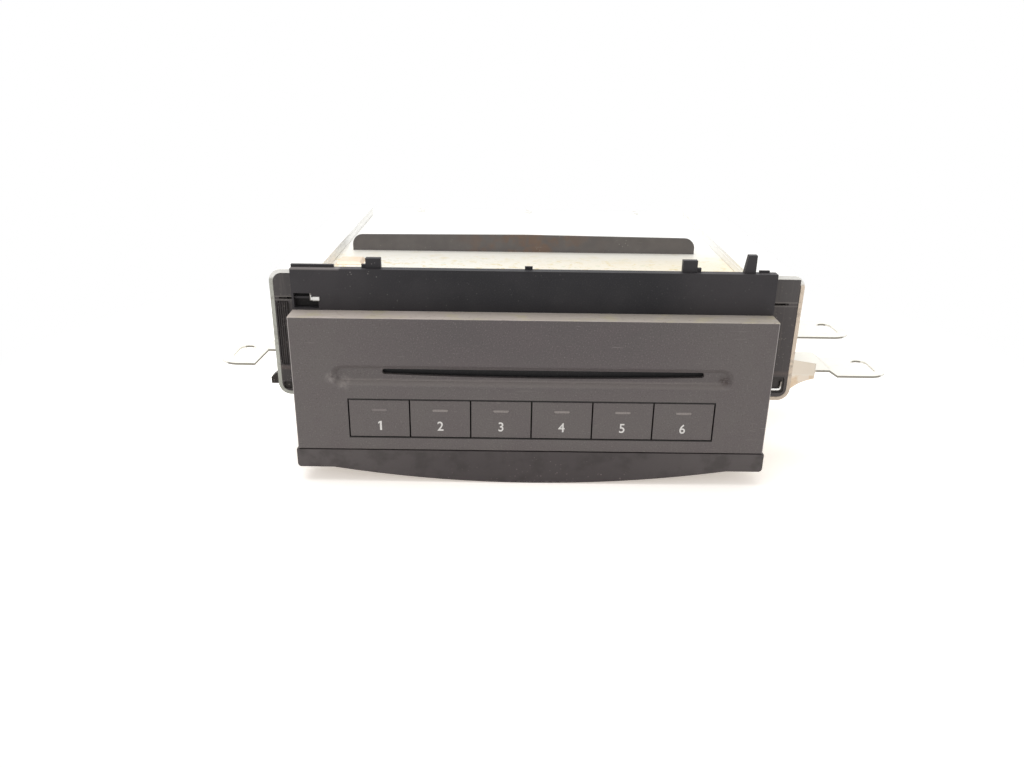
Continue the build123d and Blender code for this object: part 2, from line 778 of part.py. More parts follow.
def ear_right_rear():
    return ear(1, bracket_outer_right, right_ear_root + ear_rise, right_ear_hole, right_ear_y + ear_spacing,
               right_ear_tip, right_ear_z + ear_rise, right_ear_width + 3, right_ear_width - 6, right_ear_slope,
               right_ear_slope)


def bracket_spring():
    """A bent spring wire at the bottom front of the right bracket."""
    wire = 0.5
    y = bracket_y + 0.5 - wire
    z = bracket_bottom + bracket_sheet + 3.4
    end = bracket_outer_right - bracket_sheet - 2.8
    path = FilletPolyline((half_width + 3, y, z + 4), (half_width + 5, y, z), (end, y, z), (end + 0.2, y, z + 3.6),
                          radius=0.9)
    return sweep(Plane(origin=path @ 0, z_dir=path % 0) * Circle(wire), path=path)


# ---------------------------------------------------------------- boards and deck

damper_x = 72.0
damper_y = 64.0


def main_board():
    board = block(-83, 83, -75, 74, main_board_z, main_board_z + board_thickness)
    for x in (-damper_x, damper_x):
        for y in (-damper_y, damper_y):
            board -= rod_z(x, y, main_board_z - 1, main_board_z + board_thickness + 1, damper_radius + 1)
    return board


def board_parts():
    z = main_board_z + board_thickness
    parts = [block(-30, -12, -20, -2, z, z + 2.2), block(10, 22, 8, 20, z, z + 1.8),
             block(38, 50, -30, -18, z, z + 2.0), block(connector_x - 12, connector_x + 12, 60, 66, z, z + 4.2)]
    for number in range(4):
        parts.append(rod_z(-55 + number * 9.0, 40, z, z + 4.4, 3.0))
    return Compound(parts)


def deck_dampers():
    return Compound([rod_z(x, y, sheet, deck_z, damper_radius)
                     for x in (-damper_x, damper_x) for y in (-damper_y, damper_y)])


def rack_guides():
    return ((rack_x, -20.0), (rack_x, 48.0))


def mech_deck():
    deck = block(-85, 85, -77, 77, deck_z, deck_top)
    deck -= from_above(Pos(disc_x, disc_y) * Circle(34), deck_z - 1, deck_top + 1)
    deck = fillet(deck.edges().filter_by(Axis.Z).group_by(Axis.X)[0], 5)
    for x, y in rack_guides():
        deck += rod_z(x, y, deck_top, deck_top + rack_height + 0.6, 1.5)
    for x, y in ((front_posts[1], front_post_y), (rear_posts[1], rear_post_y)):
        deck -= rod_z(x, y, deck_z - 1, deck_top + 1, post_radius + running_clearance)
    # riveted column that the swing arm turns on
    deck += rod_z(pivot_x, pivot_y, deck_top, arm_boss_low - 0.1, boss_radius)
    deck += rod_z(pivot_x, pivot_y, deck_top, clamp_z + 5, pivot_radius)
    return deck


# ---------------------------------------------------------------- load roller and its drive

left_cheek = disc_x - cheek_offset - cheek_sheet
right_cheek = disc_x + cheek_offset
roller_gear_x = left_cheek - 0.8 - gear_width
idler_z = roller_z - sqrt((pitch_radius(roller_teeth) + pitch_radius(idler_teeth)) ** 2 - (idler_y - roller_y) ** 2)
pinion_z = idler_z - pitch_radius(idler_teeth) - pitch_radius(pinion_teeth)
load_motor_radius = 6.4
load_motor_length = 20.0


def roller_frame():
    side = outline((-74, deck_top), (-67, deck_top), (-67, 18), (-62.8, 22), (-62.8, 52), (-66, 56), (-74, 56))
    frame = from_side(side, left_cheek, left_cheek + cheek_sheet)
    frame += from_side(side, right_cheek, right_cheek + cheek_sheet)
    frame += block(left_cheek, right_cheek + cheek_sheet, -74, -64, 56, 57.2)
    for x in (left_cheek, right_cheek):
        frame -= rod_x(x - 1, x + cheek_sheet + 1, roller_y, roller_z, shaft_radius + running_clearance)
    # stub for the idler, and the hole that the motor's shaft passes through
    frame -= rod_x(left_cheek - 1, left_cheek + 2, idler_y, pinion_z, 2.5)
    frame += rod_x(roller_gear_x, left_cheek, idler_y, idler_z, shaft_radius)
    return frame


def disc_guide():
    guide = block(disc_x - 65, disc_x + 65, -76, -63, 50.0, 51.2)
    for x in (disc_x - 50, disc_x + 50):
        guide += block(x - 2, x + 2, -73, -65, 51.2, 56)
    return guide


def load_roller():
    roller = rod_x(disc_x - roller_half, disc_x + roller_half, roller_y, roller_z, roller_radius)
    return roller - rod_x(disc_x - roller_half, disc_x + roller_half, roller_y, roller_z, shaft_radius)


def roller_shaft():
    return rod_x(roller_gear_x - 0.6, right_cheek + cheek_sheet + 1, roller_y, roller_z, shaft_radius)


roller_phase = 0.0
idler_direction = atan2(idler_z - roller_z, idler_y - roller_y)
idler_phase = meshing_phase(idler_teeth, roller_teeth, roller_phase, idler_direction)
pinion_phase = meshing_phase(pinion_teeth, idler_teeth, idler_phase, -pi / 2)


def gear_across(teeth, phase, y, z, bore):
    """A gear on an axis along X, beside the left cheek."""
    wheel = from_side(Pos(y, z) * gear_outline(teeth, phase), roller_gear_x, roller_gear_x + gear_width)
    return wheel - rod_x(roller_gear_x, roller_gear_x + gear_width, y, z, bore)


def roller_gear():
    return gear_across(roller_teeth, roller_phase, roller_y, roller_z, shaft_radius)


def idler_gear():
    return gear_across(idler_teeth, idler_phase, idler_y, idler_z, shaft_radius + running_clearance)


def load_pinion():
    wheel = from_side(Pos(idler_y, pinion_z) * gear_outline(pinion_teeth, pinion_phase), roller_gear_x,
                      roller_gear_x + gear_width)
    start = left_cheek + cheek_sheet + 3
    return wheel + rod_x(roller_gear_x, start, idler_y, pinion_z, 1.0)


def load_motor():
    start = left_cheek + cheek_sheet
    can = rod_x(start, start + load_motor_length, idler_y, pinion_z, load_motor_radius)
    can -= rod_x(start - 1, start + 4, idler_y, pinion_z, 1.0 + running_clearance)
    return can


# ---------------------------------------------------------------- trays and lift

tray_half = disc_radius + 2.0
lug_radius = 5.0


def tray(level):
    plate = from_above(Pos(disc_x, disc_y) * RectangleRounded(2 * tray_half, 2 * tray_half - 1, 8), level,
                       level + tray_thickness)
    for x, y in ((front_posts[0], front_post_y), (front_posts[1], front_post_y),
                 (rear_posts[0], rear_post_y), (rear_posts[1], rear_post_y)):
        plate += rod_z(x, y, level, level + tray_thickness, lug_radius)
    for x in front_posts:
        x0, x1 = sorted((x, x + (14 if x < disc_x else -14)))
        plate += block(x0, x1, front_post_y - lug_radius, front_post_y + lug_radius, level, level + tray_thickness)
    for x in rear_posts:
        plate += block(x - lug_radius, x + lug_radius, rear_post_y - 12, rear_post_y, level, level + tray_thickness)
    # seat for the disc, and the opening that the turntable and the pickup work through
    plate -= rod_z(disc_x, disc_y, level + tray_thickness - 0.7, level + tray_thickness + 1, disc_radius + 0.5)
    toward_pivot = degrees(atan2(pivot_y - disc_y, pivot_x - disc_x))
    reach = 46.0
    window = Pos(disc_x, disc_y) * Rot(0, 0, toward_pivot) * Pos(reach / 2, 0) * SlotOverall(reach + 36, 36)
    plate -= from_above(window, level - 1, level + tray_thickness + 1)
    for x, y in ((front_posts[0], front_post_y), (front_posts[1], front_post_y),
                 (rear_posts[0], rear_post_y), (rear_posts[1], rear_post_y)):
        plate -= rod_z(x, y, level - 1, level + tray_thickness + 1, post_radius + post_clearance)
    return plate


def tray_level(number):
    if number > 3:
        return lower_tray_z + (6 - number) * tray_pitch
    if number == 3:
        return play_tray_z
    return upper_tray_z + (2 - number) * tray_pitch


rack_first = -62.5
rack_end = 71.0


def rack_gap(y):
    """The centre of the rack's gap nearest to y."""
    first_gap = rack_first + tooth_pitch / 2
    return first_gap + round((y - first_gap) / tooth_pitch) * tooth_pitch


def lift_post(x, y, phase):
    post = rod_z(x, y, deck_z + 0.2, post_top, post_radius)
    wheel = from_above(Pos(x, y) * gear_outline(post_teeth, phase), gear_z, gear_z + rack_height)
    return post + wheel


front_post_phase = pi - (rack_gap(front_post_y) - front_post_y) / pitch_radius(post_teeth)
rear_post_phase = (rack_gap(rear_post_y) - rear_post_y) / pitch_radius(post_teeth)
lift_pinion_phase = pi - (rack_gap(lift_motor_y) - lift_motor_y) / pitch_radius(pinion_teeth)
lift_motor_x = rack_x + rack_half_pitch_width + pitch_radius(pinion_teeth)


def guide_rods():
    return Compound([rod_z(front_posts[0], front_post_y, deck_top, post_top, post_radius),
                     rod_z(rear_posts[0], rear_post_y, deck_top, post_top, post_radius)])


def lift_rack():
    body_half = rack_half_pitch_width - gear_dedendum * gear_module
    bar = Pos(rack_x, (rack_first + rack_end) / 2) * Rectangle(2 * body_half, rack_end - rack_first)
    right_count = int((lift_motor_y + 8 - rack_first) / tooth_pitch)
    left_first = rack_first + int((rear_post_y - 14 - rack_first) / tooth_pitch) * tooth_pitch
    left_count = int((rack_end - 1 - left_first) / tooth_pitch) + 1
    for tooth in rack_teeth(rack_x + rack_half_pitch_width, 1, rack_first, right_count):
        bar += tooth
    for tooth in rack_teeth(rack_x - rack_half_pitch_width, -1, left_first, left_count):
        bar += tooth
    solid = from_above(bar, gear_z, gear_z + rack_height)
    for x, y in rack_guides():
        slot = Pos(x, y - 2.6) * Rot(0, 0, 90) * SlotOverall(3.6 + 5.6, 3.6)
        solid -= from_above(slot, gear_z - 1, gear_z + rack_height + 1)
    return solid


def lift_pinion():
    wheel = from_above(Pos(lift_motor_x, lift_motor_y) * gear_outline(pinion_teeth, lift_pinion_phase), gear_z,
                       gear_z + rack_height)
    return wheel + rod_z(lift_motor_x, lift_motor_y, gear_z, gear_z + rack_height + 4, 1.0)


def lift_motor():
    start = gear_z + rack_height + 0.6
    can = rod_z(lift_motor_x, lift_motor_y, start, start + 15, lift_motor_radius)
    can -= rod_z(lift_motor_x, lift_motor_y, start - 1, start + 4, 1.0 + running_clearance)
    # bracket down to the deck beside the rack
    foot_x = lift_motor_x + lift_motor_radius - 2
    can += block(foot_x, foot_x + 2, lift_motor_y - 5, lift_motor_y + 5, deck_top, start + 2)
    return can


# ---------------------------------------------------------------- swing arm

boss_radius = 5.5
arm_boss_low = 32.1


def arm_outline(root_radius, tip_radius):
    root = Pos(*along_arm(0, 0)) * Circle(root_radius)
    tip = Pos(*along_arm(arm_length, 0)) * Circle(tip_radius)
    return make_hull(root.edges() + tip.edges())


def swing_arm():
    plate = from_above(arm_outline(arm_root_radius, arm_tip_radius), arm_plate_z, arm_plate_z + arm_sheet)
    x, y = along_arm(55, 0)
    plate -= block(x - 9, x + 9, y - 31, y + 31, arm_plate_z - 1, arm_plate_z + arm_sheet + 1)
    plate += rod_z(pivot_x, pivot_y, arm_boss_low, clamp_z, boss_radius)
    plate -= rod_z(pivot_x, pivot_y, arm_boss_low - 1, clamp_z + 1, pivot_radius + running_clearance)
    tip_x, tip_y = along_arm(arm_length, 0)
    plate -= rod_z(tip_x, tip_y, arm_plate_z - 1, arm_plate_z + arm_sheet + 1, 3.0)
    # hangers that hold the guide rods and the lead screw
    far_end = pivot_y - hanger_far - hanger_sheet
    near_end = pivot_y - hanger_near + hanger_sheet
    hanger_low = guide_rod_z - 2 * guide_rod_radius
    for start in (far_end, near_end - hanger_sheet):
        for low, high in ((-guide_rod_offset - 1.5, -guide_rod_offset + 1.5), (guide_rod_offset - 1.5, screw_offset + 1.4)):
            plate += block(pivot_x + low, pivot_x + high, start, start + hanger_sheet, hanger_low, arm_plate_z)
    for offset in (-guide_rod_offset, guide_rod_offset):
        plate -= rod_y(pivot_x + offset, far_end - 1, near_end + 1, guide_rod_z, guide_rod_radius)
    plate -= rod_y(pivot_x + screw_offset, far_end - 1, near_end + 1, guide_rod_z, screw_radius + running_clearance)
    return plate


def clamp_arm():
    plate = from_above(arm_outline(boss_radius + 1, 9.0), clamp_z, clamp_z + arm_sheet)
    plate -= rod_z(pivot_x, pivot_y, clamp_z - 1, clamp_z + 3, pivot_radius + running_clearance)
    rib = block(pivot_x - 0.8, pivot_x + 0.8, pivot_y - arm_length + 10, pivot_y - 7, clamp_z + arm_sheet,
                clamp_z + arm_sheet + 2)
    return plate + rib


def clamp_puck():
    x, y = along_arm(arm_length, 0)
    return rod_z(x, y, clamp_z - 2.2, clamp_z, 8.0)


def spindle_motor():
    x, y = along_arm(arm_length, 0)
    can = rod_z(x, y, arm_plate_z - 7, arm_plate_z, spindle_motor_radius)
    return can - rod_z(x, y, arm_plate_z - 3, arm_plate_z + 1, spindle_radius + running_clearance)


def turntable():
    x, y = along_arm(arm_length, 0)
    disc = rod_z(x, y, turntable_top - 3.2, turntable_top - 1.6, turntable_radius)
    disc += Pos(x, y, turntable_top - 0.8) * Cone(7.3, 6.0, 1.6)
    return disc + rod_z(x, y, arm_plate_z - 2.8, turntable_top - 3.2, spindle_radius)


pickup_y = pivot_y - arm_length + pickup_start
sled_motor_front = pivot_y - hanger_near + hanger_sheet + 1
sled_motor_length = 14.0


def pickup():
    near = pickup_y - pickup_length / 2 + pickup_overhang
    body = block(pivot_x - 8.5, pivot_x + 8.5, near, near + pickup_length, 32.3, 36.6)
    body += rod_z(pivot_x, pickup_y, 36.6, 41.4, 5.5)
    body += rod_z(pivot_x, pickup_y, 41.4, 42.2, 3.0)
    body += block(pivot_x + 8.5, pivot_x + 11.5, near + 8, near + 18, 32.3, 36.6)
    for offset in (-guide_rod_offset, guide_rod_offset):
        body -= rod_y(pivot_x + offset, near - 1, near + pickup_length + 1, guide_rod_z,
                      guide_rod_radius + running_clearance)
    body -= rod_y(pivot_x + screw_offset, near - 1, near + pickup_length + 1, guide_rod_z,
                  screw_radius + running_clearance)
    return body


def sled_rods():
    return Compound([rod_y(pivot_x + offset, pivot_y - hanger_far - hanger_sheet, pivot_y - hanger_near + hanger_sheet,
                           guide_rod_z, guide_rod_radius)
                     for offset in (-guide_rod_offset, guide_rod_offset)])


def lead_screw():
    return rod_y(pivot_x + screw_offset, pivot_y - hanger_far - hanger_sheet, sled_motor_front + 3.5, guide_rod_z,
                 screw_radius)


def sled_motor():
    x = pivot_x + screw_offset
    can = rod_y(x, sled_motor_front, sled_motor_front + sled_motor_length, guide_rod_z, arm_plate_z - guide_rod_z)
    return can - rod_y(x, sled_motor_front - 1, sled_motor_front + 4.5, guide_rod_z, screw_radius + running_clearance)


# ---------------------------------------------------------------- files

def nodes():
    made = {
        "bezel": bezel(),
        "slot_shutter": shutter(),
        "keypad_board": keypad_board(),
        "key_switches": key_switches(),
        "key_lights": key_lights(),
        "front_frame": front_frame(),
        "frame_clip": frame_clip(),
        "chassis_pan": chassis_pan(),
        "top_cover": top_cover(),
        "housing_screws": housing_screws(),
        "top_hook_plate": top_hook_plate(),
        "rear_connector": rear_connector(),
        "bracket_left": bracket(-1, bracket_outer_left),
        "bracket_right": bracket(1, bracket_outer_right),
        "guide_block_left": guide_block(-1, bracket_outer_left),
        "guide_block_right": guide_block(1, bracket_outer_right),
        "bracket_screws": bracket_screws(),
        "ear_left": ear_left(),
        "ear_right_front": ear_right_front(),
        "ear_right_rear": ear_right_rear(),
        "bracket_spring": bracket_spring(),
        "main_board": main_board(),
        "board_parts": board_parts(),
        "deck_dampers": deck_dampers(),
        "mech_deck": mech_deck(),
        "roller_frame": roller_frame(),
        "disc_guide": disc_guide(),
        "load_roller": load_roller(),
        "roller_shaft": roller_shaft(),
        "roller_gear": roller_gear(),
        "idler_gear": idler_gear(),
        "load_pinion": load_pinion(),
        "load_motor": load_motor(),
        "guide_rods": guide_rods(),
        "lift_post_front": lift_post(front_posts[1], front_post_y, front_post_phase),
        "lift_post_rear": lift_post(rear_posts[1], rear_post_y, rear_post_phase),
        "lift_rack": lift_rack(),
        "lift_pinion": lift_pinion(),
        "lift_motor": lift_motor(),
        "swing_arm": swing_arm(),
        "clamp_arm": clamp_arm(),
        "clamp_puck": clamp_puck(),
        "spindle_motor": spindle_motor(),
        "turntable": turntable(),
        "pickup": pickup(),
        "sled_rods": sled_rods(),
        "lead_screw": lead_screw(),
        "sled_motor": sled_motor(),
    }
    for number in range(1, key_count + 1):
        made[f"key_{number}"] = key(number)
        made[f"disc_tray_{number}"] = tray(tray_level(number))
    return made


def main():
    os.makedirs("parts", exist_ok=True)
    for name, shape in nodes().items():
        export_step(shape, f"parts/{name}.step")
        print(f"{name}: {len(shape.solids())} solid(s), {shape.volume:.1f} mm3")


main()
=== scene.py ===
# %% [markdown]
# A car disc changer, dressed for its portrait.
#
# The object is a six-disc changer for a dashboard, pulled out and stood on a white surface.
# The solids come from a finished mechanical model, so this script builds finishes, small
# surface details, light and a camera round them. Everything is in metres.

# %% Load the mechanical model
import math

import bmesh
import bpy
from mathutils import Matrix, Vector


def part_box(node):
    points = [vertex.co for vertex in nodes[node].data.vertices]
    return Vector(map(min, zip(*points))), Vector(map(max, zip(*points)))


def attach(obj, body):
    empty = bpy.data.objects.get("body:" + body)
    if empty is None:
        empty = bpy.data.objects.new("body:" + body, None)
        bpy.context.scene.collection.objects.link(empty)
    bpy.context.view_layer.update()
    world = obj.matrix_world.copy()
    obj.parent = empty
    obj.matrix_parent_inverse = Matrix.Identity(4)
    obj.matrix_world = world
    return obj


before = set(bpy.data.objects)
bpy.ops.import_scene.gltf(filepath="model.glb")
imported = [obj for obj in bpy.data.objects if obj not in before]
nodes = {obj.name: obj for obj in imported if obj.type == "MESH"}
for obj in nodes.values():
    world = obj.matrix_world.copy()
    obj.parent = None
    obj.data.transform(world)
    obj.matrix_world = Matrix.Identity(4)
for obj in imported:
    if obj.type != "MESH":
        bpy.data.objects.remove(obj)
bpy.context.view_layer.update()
print("nodes:", len(nodes))

# %% [markdown]
# The photograph was taken from in front and above, looking down on the object.
# Its camera was worked out from the straight edges of the bezel: they give the focal
# length, the downward tilt, a slight turn and a slight roll.

# %% Camera
MM = 0.001
SENSOR_WIDTH = 36.0
NEAR_CLIP = 10 * MM
PICTURE_WIDTH = 1024
FOCAL_PIXELS = 831.8
PITCH_DOWN = math.radians(21.94)
TURN_RIGHT = math.radians(0.241)
ROLL = math.radians(0.8215)
CAMERA_PLACE = Vector((-9.2, -396.2, 165.6)) * MM

camera_data = bpy.data.cameras.new("camera")
camera_data.sensor_width = SENSOR_WIDTH
camera_data.lens = SENSOR_WIDTH * FOCAL_PIXELS / PICTURE_WIDTH
camera_data.clip_start = NEAR_CLIP
camera = bpy.data.objects.new("camera", camera_data)
bpy.context.scene.collection.objects.link(camera)
aim = Matrix.Rotation(-TURN_RIGHT, 3, "Z") @ Matrix.Rotation(math.pi / 2 - PITCH_DOWN, 3, "X")
camera.matrix_world = Matrix.Translation(CAMERA_PLACE) @ (aim @ Matrix.Rotation(ROLL, 3, "Z")).to_4x4()
bpy.context.scene.camera = camera
bpy.context.scene.view_settings.view_transform = "Standard"
print("lens", round(camera_data.lens, 2), "mm")

# %% [markdown]
# A shader is a sum written in nodes. This small class lets the sums be typed as ordinary
# expressions: it wraps a socket, and every operator adds the Math node that it stands for.

# %% Shader arithmetic
EDGE_SOFTNESS = 0.02 * MM


class Socket:
    """One output socket of a material's node tree, with arithmetic."""

    def __init__(self, tree, socket):
        self.tree = tree
        self.socket = socket

    def math(self, operation, *values):
        node = self.tree.nodes.new("ShaderNodeMath")
        node.operation = operation
        for slot, value in zip(node.inputs, values):
            plug(self.tree, slot, value)
        return Socket(self.tree, node.outputs[0])

    def __add__(self, other):
        return self.math("ADD", self, other)

    def __radd__(self, other):
        return self.math("ADD", other, self)

    def __sub__(self, other):
        return self.math("SUBTRACT", self, other)

    def __rsub__(self, other):
        return self.math("SUBTRACT", other, self)

    def __mul__(self, other):
        return self.math("MULTIPLY", self, other)

    def __rmul__(self, other):
        return self.math("MULTIPLY", other, self)

    def abs(self):
        return self.math("ABSOLUTE", self)

    def root(self):
        return self.math("SQRT", self)

    def max(self, other):
        return self.math("MAXIMUM", self, other)

    def smooth(self, low, high):
        """0 below low, 1 above high, and a soft step between."""
        node = self.tree.nodes.new("ShaderNodeMapRange")
        node.interpolation_type = "SMOOTHSTEP"
        plug(self.tree, node.inputs["Value"], self)
        plug(self.tree, node.inputs["From Min"], low)
        plug(self.tree, node.inputs["From Max"], high)
        return Socket(self.tree, node.outputs["Result"])

    def within(self, low, high, soft=EDGE_SOFTNESS):
        """1 between low and high, with soft ends."""
        return self.smooth(low - soft, low + soft) * (1.0 - self.smooth(high - soft, high + soft))


def plug(tree, slot, value):
    """Links a socket to an input, or sets the input's own value."""
    if isinstance(value, Socket):
        tree.links.new(value.socket, slot)
    else:
        slot.default_value = value


def rgba(colour):
    """A colour with full alpha, as a colour socket wants it."""
    return (*colour, 1.0)


def screen(red, green, blue):
    """A screen colour from 0 to 255 as the linear colour that the shader wants."""
    return tuple((value / 255 / 12.92) if value <= 10 else ((value / 255 + 0.055) / 1.055) ** 2.4
                 for value in (red, green, blue))


def scaled(colour, share):
    """A darker colour, or a lighter one where share is over 1."""
    return tuple(min(1.0, value * share) for value in colour)


# %% [markdown]
# A finish is a material being made. Its methods name what a painter would ask for: a noise of
# a given grain size, streaks, a blend of two colours, a bump. Patterns are placed by Object
# coordinates, so they stay put when a piece moves.

# %% Finish
class Finish:
    """A material with its tree and its shader, and short ways to add to them."""

    def __init__(self, name):
        self.material = bpy.data.materials.new(name)
        self.material.use_nodes = True
        self.tree = self.material.node_tree
        self.shader = self.tree.nodes["Principled BSDF"]

    @classmethod
    def of(cls, material):
        """A finish that goes on from a material that is made already."""
        finish = cls.__new__(cls)
        finish.material, finish.tree = material, material.node_tree
        finish.shader = finish.tree.nodes["Principled BSDF"]
        return finish

    def node(self, kind, output=0, settings=None, **values):
        """One output of a new node, with its settings and the values of its sockets."""
        made = self.tree.nodes.new(kind)
        for name, value in (settings or {}).items():
            setattr(made, name, value)
        for name, value in values.items():
            plug(self.tree, made.inputs[name.replace("_", " ")], value)
        return Socket(self.tree, made.outputs[output])

    def place(self):
        """Object coordinates, which stay with a piece when it moves."""
        return self.node("ShaderNodeTexCoord", "Object")

    def split(self, vector):
        """The X, Y and Z of a vector."""
        made = self.tree.nodes.new("ShaderNodeSeparateXYZ")
        plug(self.tree, made.inputs[0], vector)
        return tuple(Socket(self.tree, output) for output in made.outputs)

    def axes(self):
        """The three Object coordinates."""
        return self.split(self.place())

    def stretched(self, x, y, z):
        """Object coordinates scaled on each axis, for streaks and brush lines."""
        mapping = self.tree.nodes.new("ShaderNodeMapping")
        plug(self.tree, mapping.inputs["Vector"], self.place())
        mapping.inputs["Scale"].default_value = (x, y, z)
        return Socket(self.tree, mapping.outputs[0])

    def noise(self, size, detail=3.0, roughness=0.55, place=None):
        """Noise between 0 and 1 with features of about size metres."""
        return self.node("ShaderNodeTexNoise", "Fac", Vector=place or self.place(), Scale=1.0 / size,
                         Detail=detail, Roughness=roughness)

    def flecks(self, spacing, radius):
        """1 in small round dots about spacing metres apart, 0 between them."""
        distance = self.node("ShaderNodeTexVoronoi", "Distance", Vector=self.place(),
                             Scale=1.0 / spacing)
        return 1.0 - distance.smooth(0.5 * radius / spacing, radius / spacing)

    def spot(self, x, z, radius):
        """1 inside a soft round spot on a front face."""
        place_x, _, place_z = self.axes()
        across, up = place_x - x, place_z - z
        return 1.0 - (across * across + up * up).root().smooth(0.3 * radius, radius)

    def matt(self, level):
        """Turns the mirror-like part of the gloss down."""
        self.shader.inputs["Specular IOR Level"].default_value = level
        return self

    def colour(self):
        """The colour that the shader has so far."""
        return Socket(self.tree, self.shader.inputs["Base Color"].links[0].from_socket)

    def mix(self, amount, first, second):
        """A colour between two colours."""
        made = self.tree.nodes.new("ShaderNodeMix")
        made.data_type = "RGBA"
        plug(self.tree, made.inputs[0], amount)
        for slot, value in ((made.inputs[6], first), (made.inputs[7], second)):
            plug(self.tree, slot, value if isinstance(value, Socket) else rgba(value))
        return Socket(self.tree, made.outputs[2])

    def set(self, **values):
        """Sets or links the shader's own sockets by name."""
        for name, value in values.items():
            slot = self.shader.inputs[name.replace("_", " ")]
            if name == "Base_Color" and not isinstance(value, Socket):
                value = rgba(value)
            plug(self.tree, slot, value)
        return self

    def bump(self, height, strength, distance):
        made = self.tree.nodes.new("ShaderNodeBump")
        made.inputs["Strength"].default_value = strength
        made.inputs["Distance"].default_value = distance
        plug(self.tree, made.inputs["Height"], height)
        self.tree.links.new(made.outputs[0], self.shader.inputs["Normal"])
        return self


# %% [markdown]
# The floor is plain and very pale. The photograph's background is pure white, so the floor adds
# a little plain white for rays that come from the camera or from a reflection. Near the object
# that addition is small enough for the soft contact shadow to stay, because a shadow is what
# makes an object stand on something. Further out the floor is simply white.

# %% Floor
HALF_FLOOR = 3.0
FLOOR_SHADE = (0.93, 0.93, 0.93)
# painted shadow colour: the lift's warm colour tints the floor's contact shadow tan
LIFT_SHADOW_TINT, FLOOR_LIFT = (1.0, 0.90, 0.80), 0.50
NEAR_RADIUS, FAR_RADIUS = 0.17, 0.30


def seen_rays(tree):
    """1 for rays from the camera, a mirror reflection or through glass."""
    paths = tree.nodes.new("ShaderNodeLightPath")
    seen = Socket(tree, paths.outputs["Is Camera Ray"])
    for name in ("Is Glossy Ray", "Is Transmission Ray"):
        seen = seen.max(Socket(tree, paths.outputs[name]))
    return seen


def floor_material():
    finish = Finish("pale_floor").matt(0.0)
    finish.set(Base_Color=FLOOR_SHADE, Roughness=1.0)
    tree, seen = finish.tree, seen_rays(finish.tree)
    x, y, _ = finish.axes()
    far = (x * x + y * y).root().smooth(NEAR_RADIUS, FAR_RADIUS)
    white = tree.nodes.new("ShaderNodeEmission")
    white.inputs["Strength"].default_value = 1.0
    lift = tree.nodes.new("ShaderNodeEmission")
    lift.inputs["Color"].default_value = rgba(LIFT_SHADOW_TINT)
    plug(tree, lift.inputs["Strength"], seen * FLOOR_LIFT)
    near = tree.nodes.new("ShaderNodeAddShader")
    tree.links.new(finish.shader.outputs[0], near.inputs[0])
    tree.links.new(lift.outputs[0], near.inputs[1])
    both = tree.nodes.new("ShaderNodeMixShader")
    plug(tree, both.inputs[0], far * seen)
    tree.links.new(near.outputs[0], both.inputs[1])
    tree.links.new(white.outputs[0], both.inputs[2])
    tree.links.new(both.outputs[0], tree.nodes["Material Output"].inputs["Surface"])
    return finish.material


floor_mesh = bpy.data.meshes.new("floor")
corners = [(x * HALF_FLOOR, y * HALF_FLOOR, 0) for x, y in ((-1, -1), (1, -1), (1, 1), (-1, 1))]
floor_mesh.from_pydata(corners, [], [(0, 1, 2, 3)])
floor_mesh.materials.append(floor_material())
floor = bpy.data.objects.new("floor", floor_mesh)
bpy.context.scene.collection.objects.link(floor)
print("floor", 2 * HALF_FLOOR, "m wide")

# %% [markdown]
# The light is a plain soft studio: a wide panel overhead, a weaker one in front, and an even
# white world. The world is white for the camera and weaker for the light it casts.

# %% Lamps and world
WORLD_LIGHT = 0.5


def lamp(name, place, target, size, power):
    """A rectangular lamp at a place, aimed at a target; metres and watts."""
    data = bpy.data.lights.new(name, "AREA")
    data.shape = "RECTANGLE"
    data.size, data.size_y = size
    data.energy = power
    made = bpy.data.objects.new(name, data)
    bpy.context.scene.collection.objects.link(made)
    direction = Vector(target) - Vector(place)
    turn = direction.to_track_quat("-Z", "Y").to_matrix().to_4x4()
    made.matrix_world = Matrix.Translation(place) @ turn


lamp("overhead", place=(-0.15, 0.1, 1.1), target=(0, 0, 0.03), size=(1.0, 1.0), power=10.0)
lamp("front_fill", place=(-0.25, -1.2, 0.75), target=(0, 0, 0.04), size=(1.2, 0.8), power=2.4)

world = bpy.data.worlds.new("studio")
bpy.context.scene.world = world
world.use_nodes = True
background = world.node_tree.nodes["Background"]
background.inputs["Color"].default_value = rgba((1.0, 1.0, 1.0))
plug(world.node_tree, background.inputs["Strength"],
     seen_rays(world.node_tree) * (1.0 - WORLD_LIGHT) + WORLD_LIGHT)
print("lamps:", len(bpy.data.lights))

# %% [markdown]
# The faceplate and the keys are sprayed with the same warm grey paint. It's a satin paint with a
# fine fleck, darker in the upper middle. The ledge on top is paler, partly dust and partly a painted
# highlight for the light from above; the upright edges are paler, partly wear and partly a painted
# highlight on their rounded edges; and the gap round the keys is painted black, as the shade inside
# it. Each of these is a mask worked out from the sizes of the faceplate and the keys.

# %% Faceplate paint
FACE_LOW, FACE_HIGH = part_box("bezel")
HALF_FACE = (FACE_HIGH.x - FACE_LOW.x) / 2
KEYS_LOW, KEYS_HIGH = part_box("key_1")[0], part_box("key_6")[1]
# a key's box reaches further, because it takes in the flange behind the faceplate
KEY_LOW_Z, KEY_HIGH_Z = 20.3 * MM, 36.4 * MM
KEY_GAP, GAP_RIM = 0.35 * MM, 0.13 * MM
PAINT_SIDES, PAINT_MIDDLE = screen(104, 98, 96), screen(93, 87, 87)
GAP_SHADE_BLACK = screen(22, 19, 18)
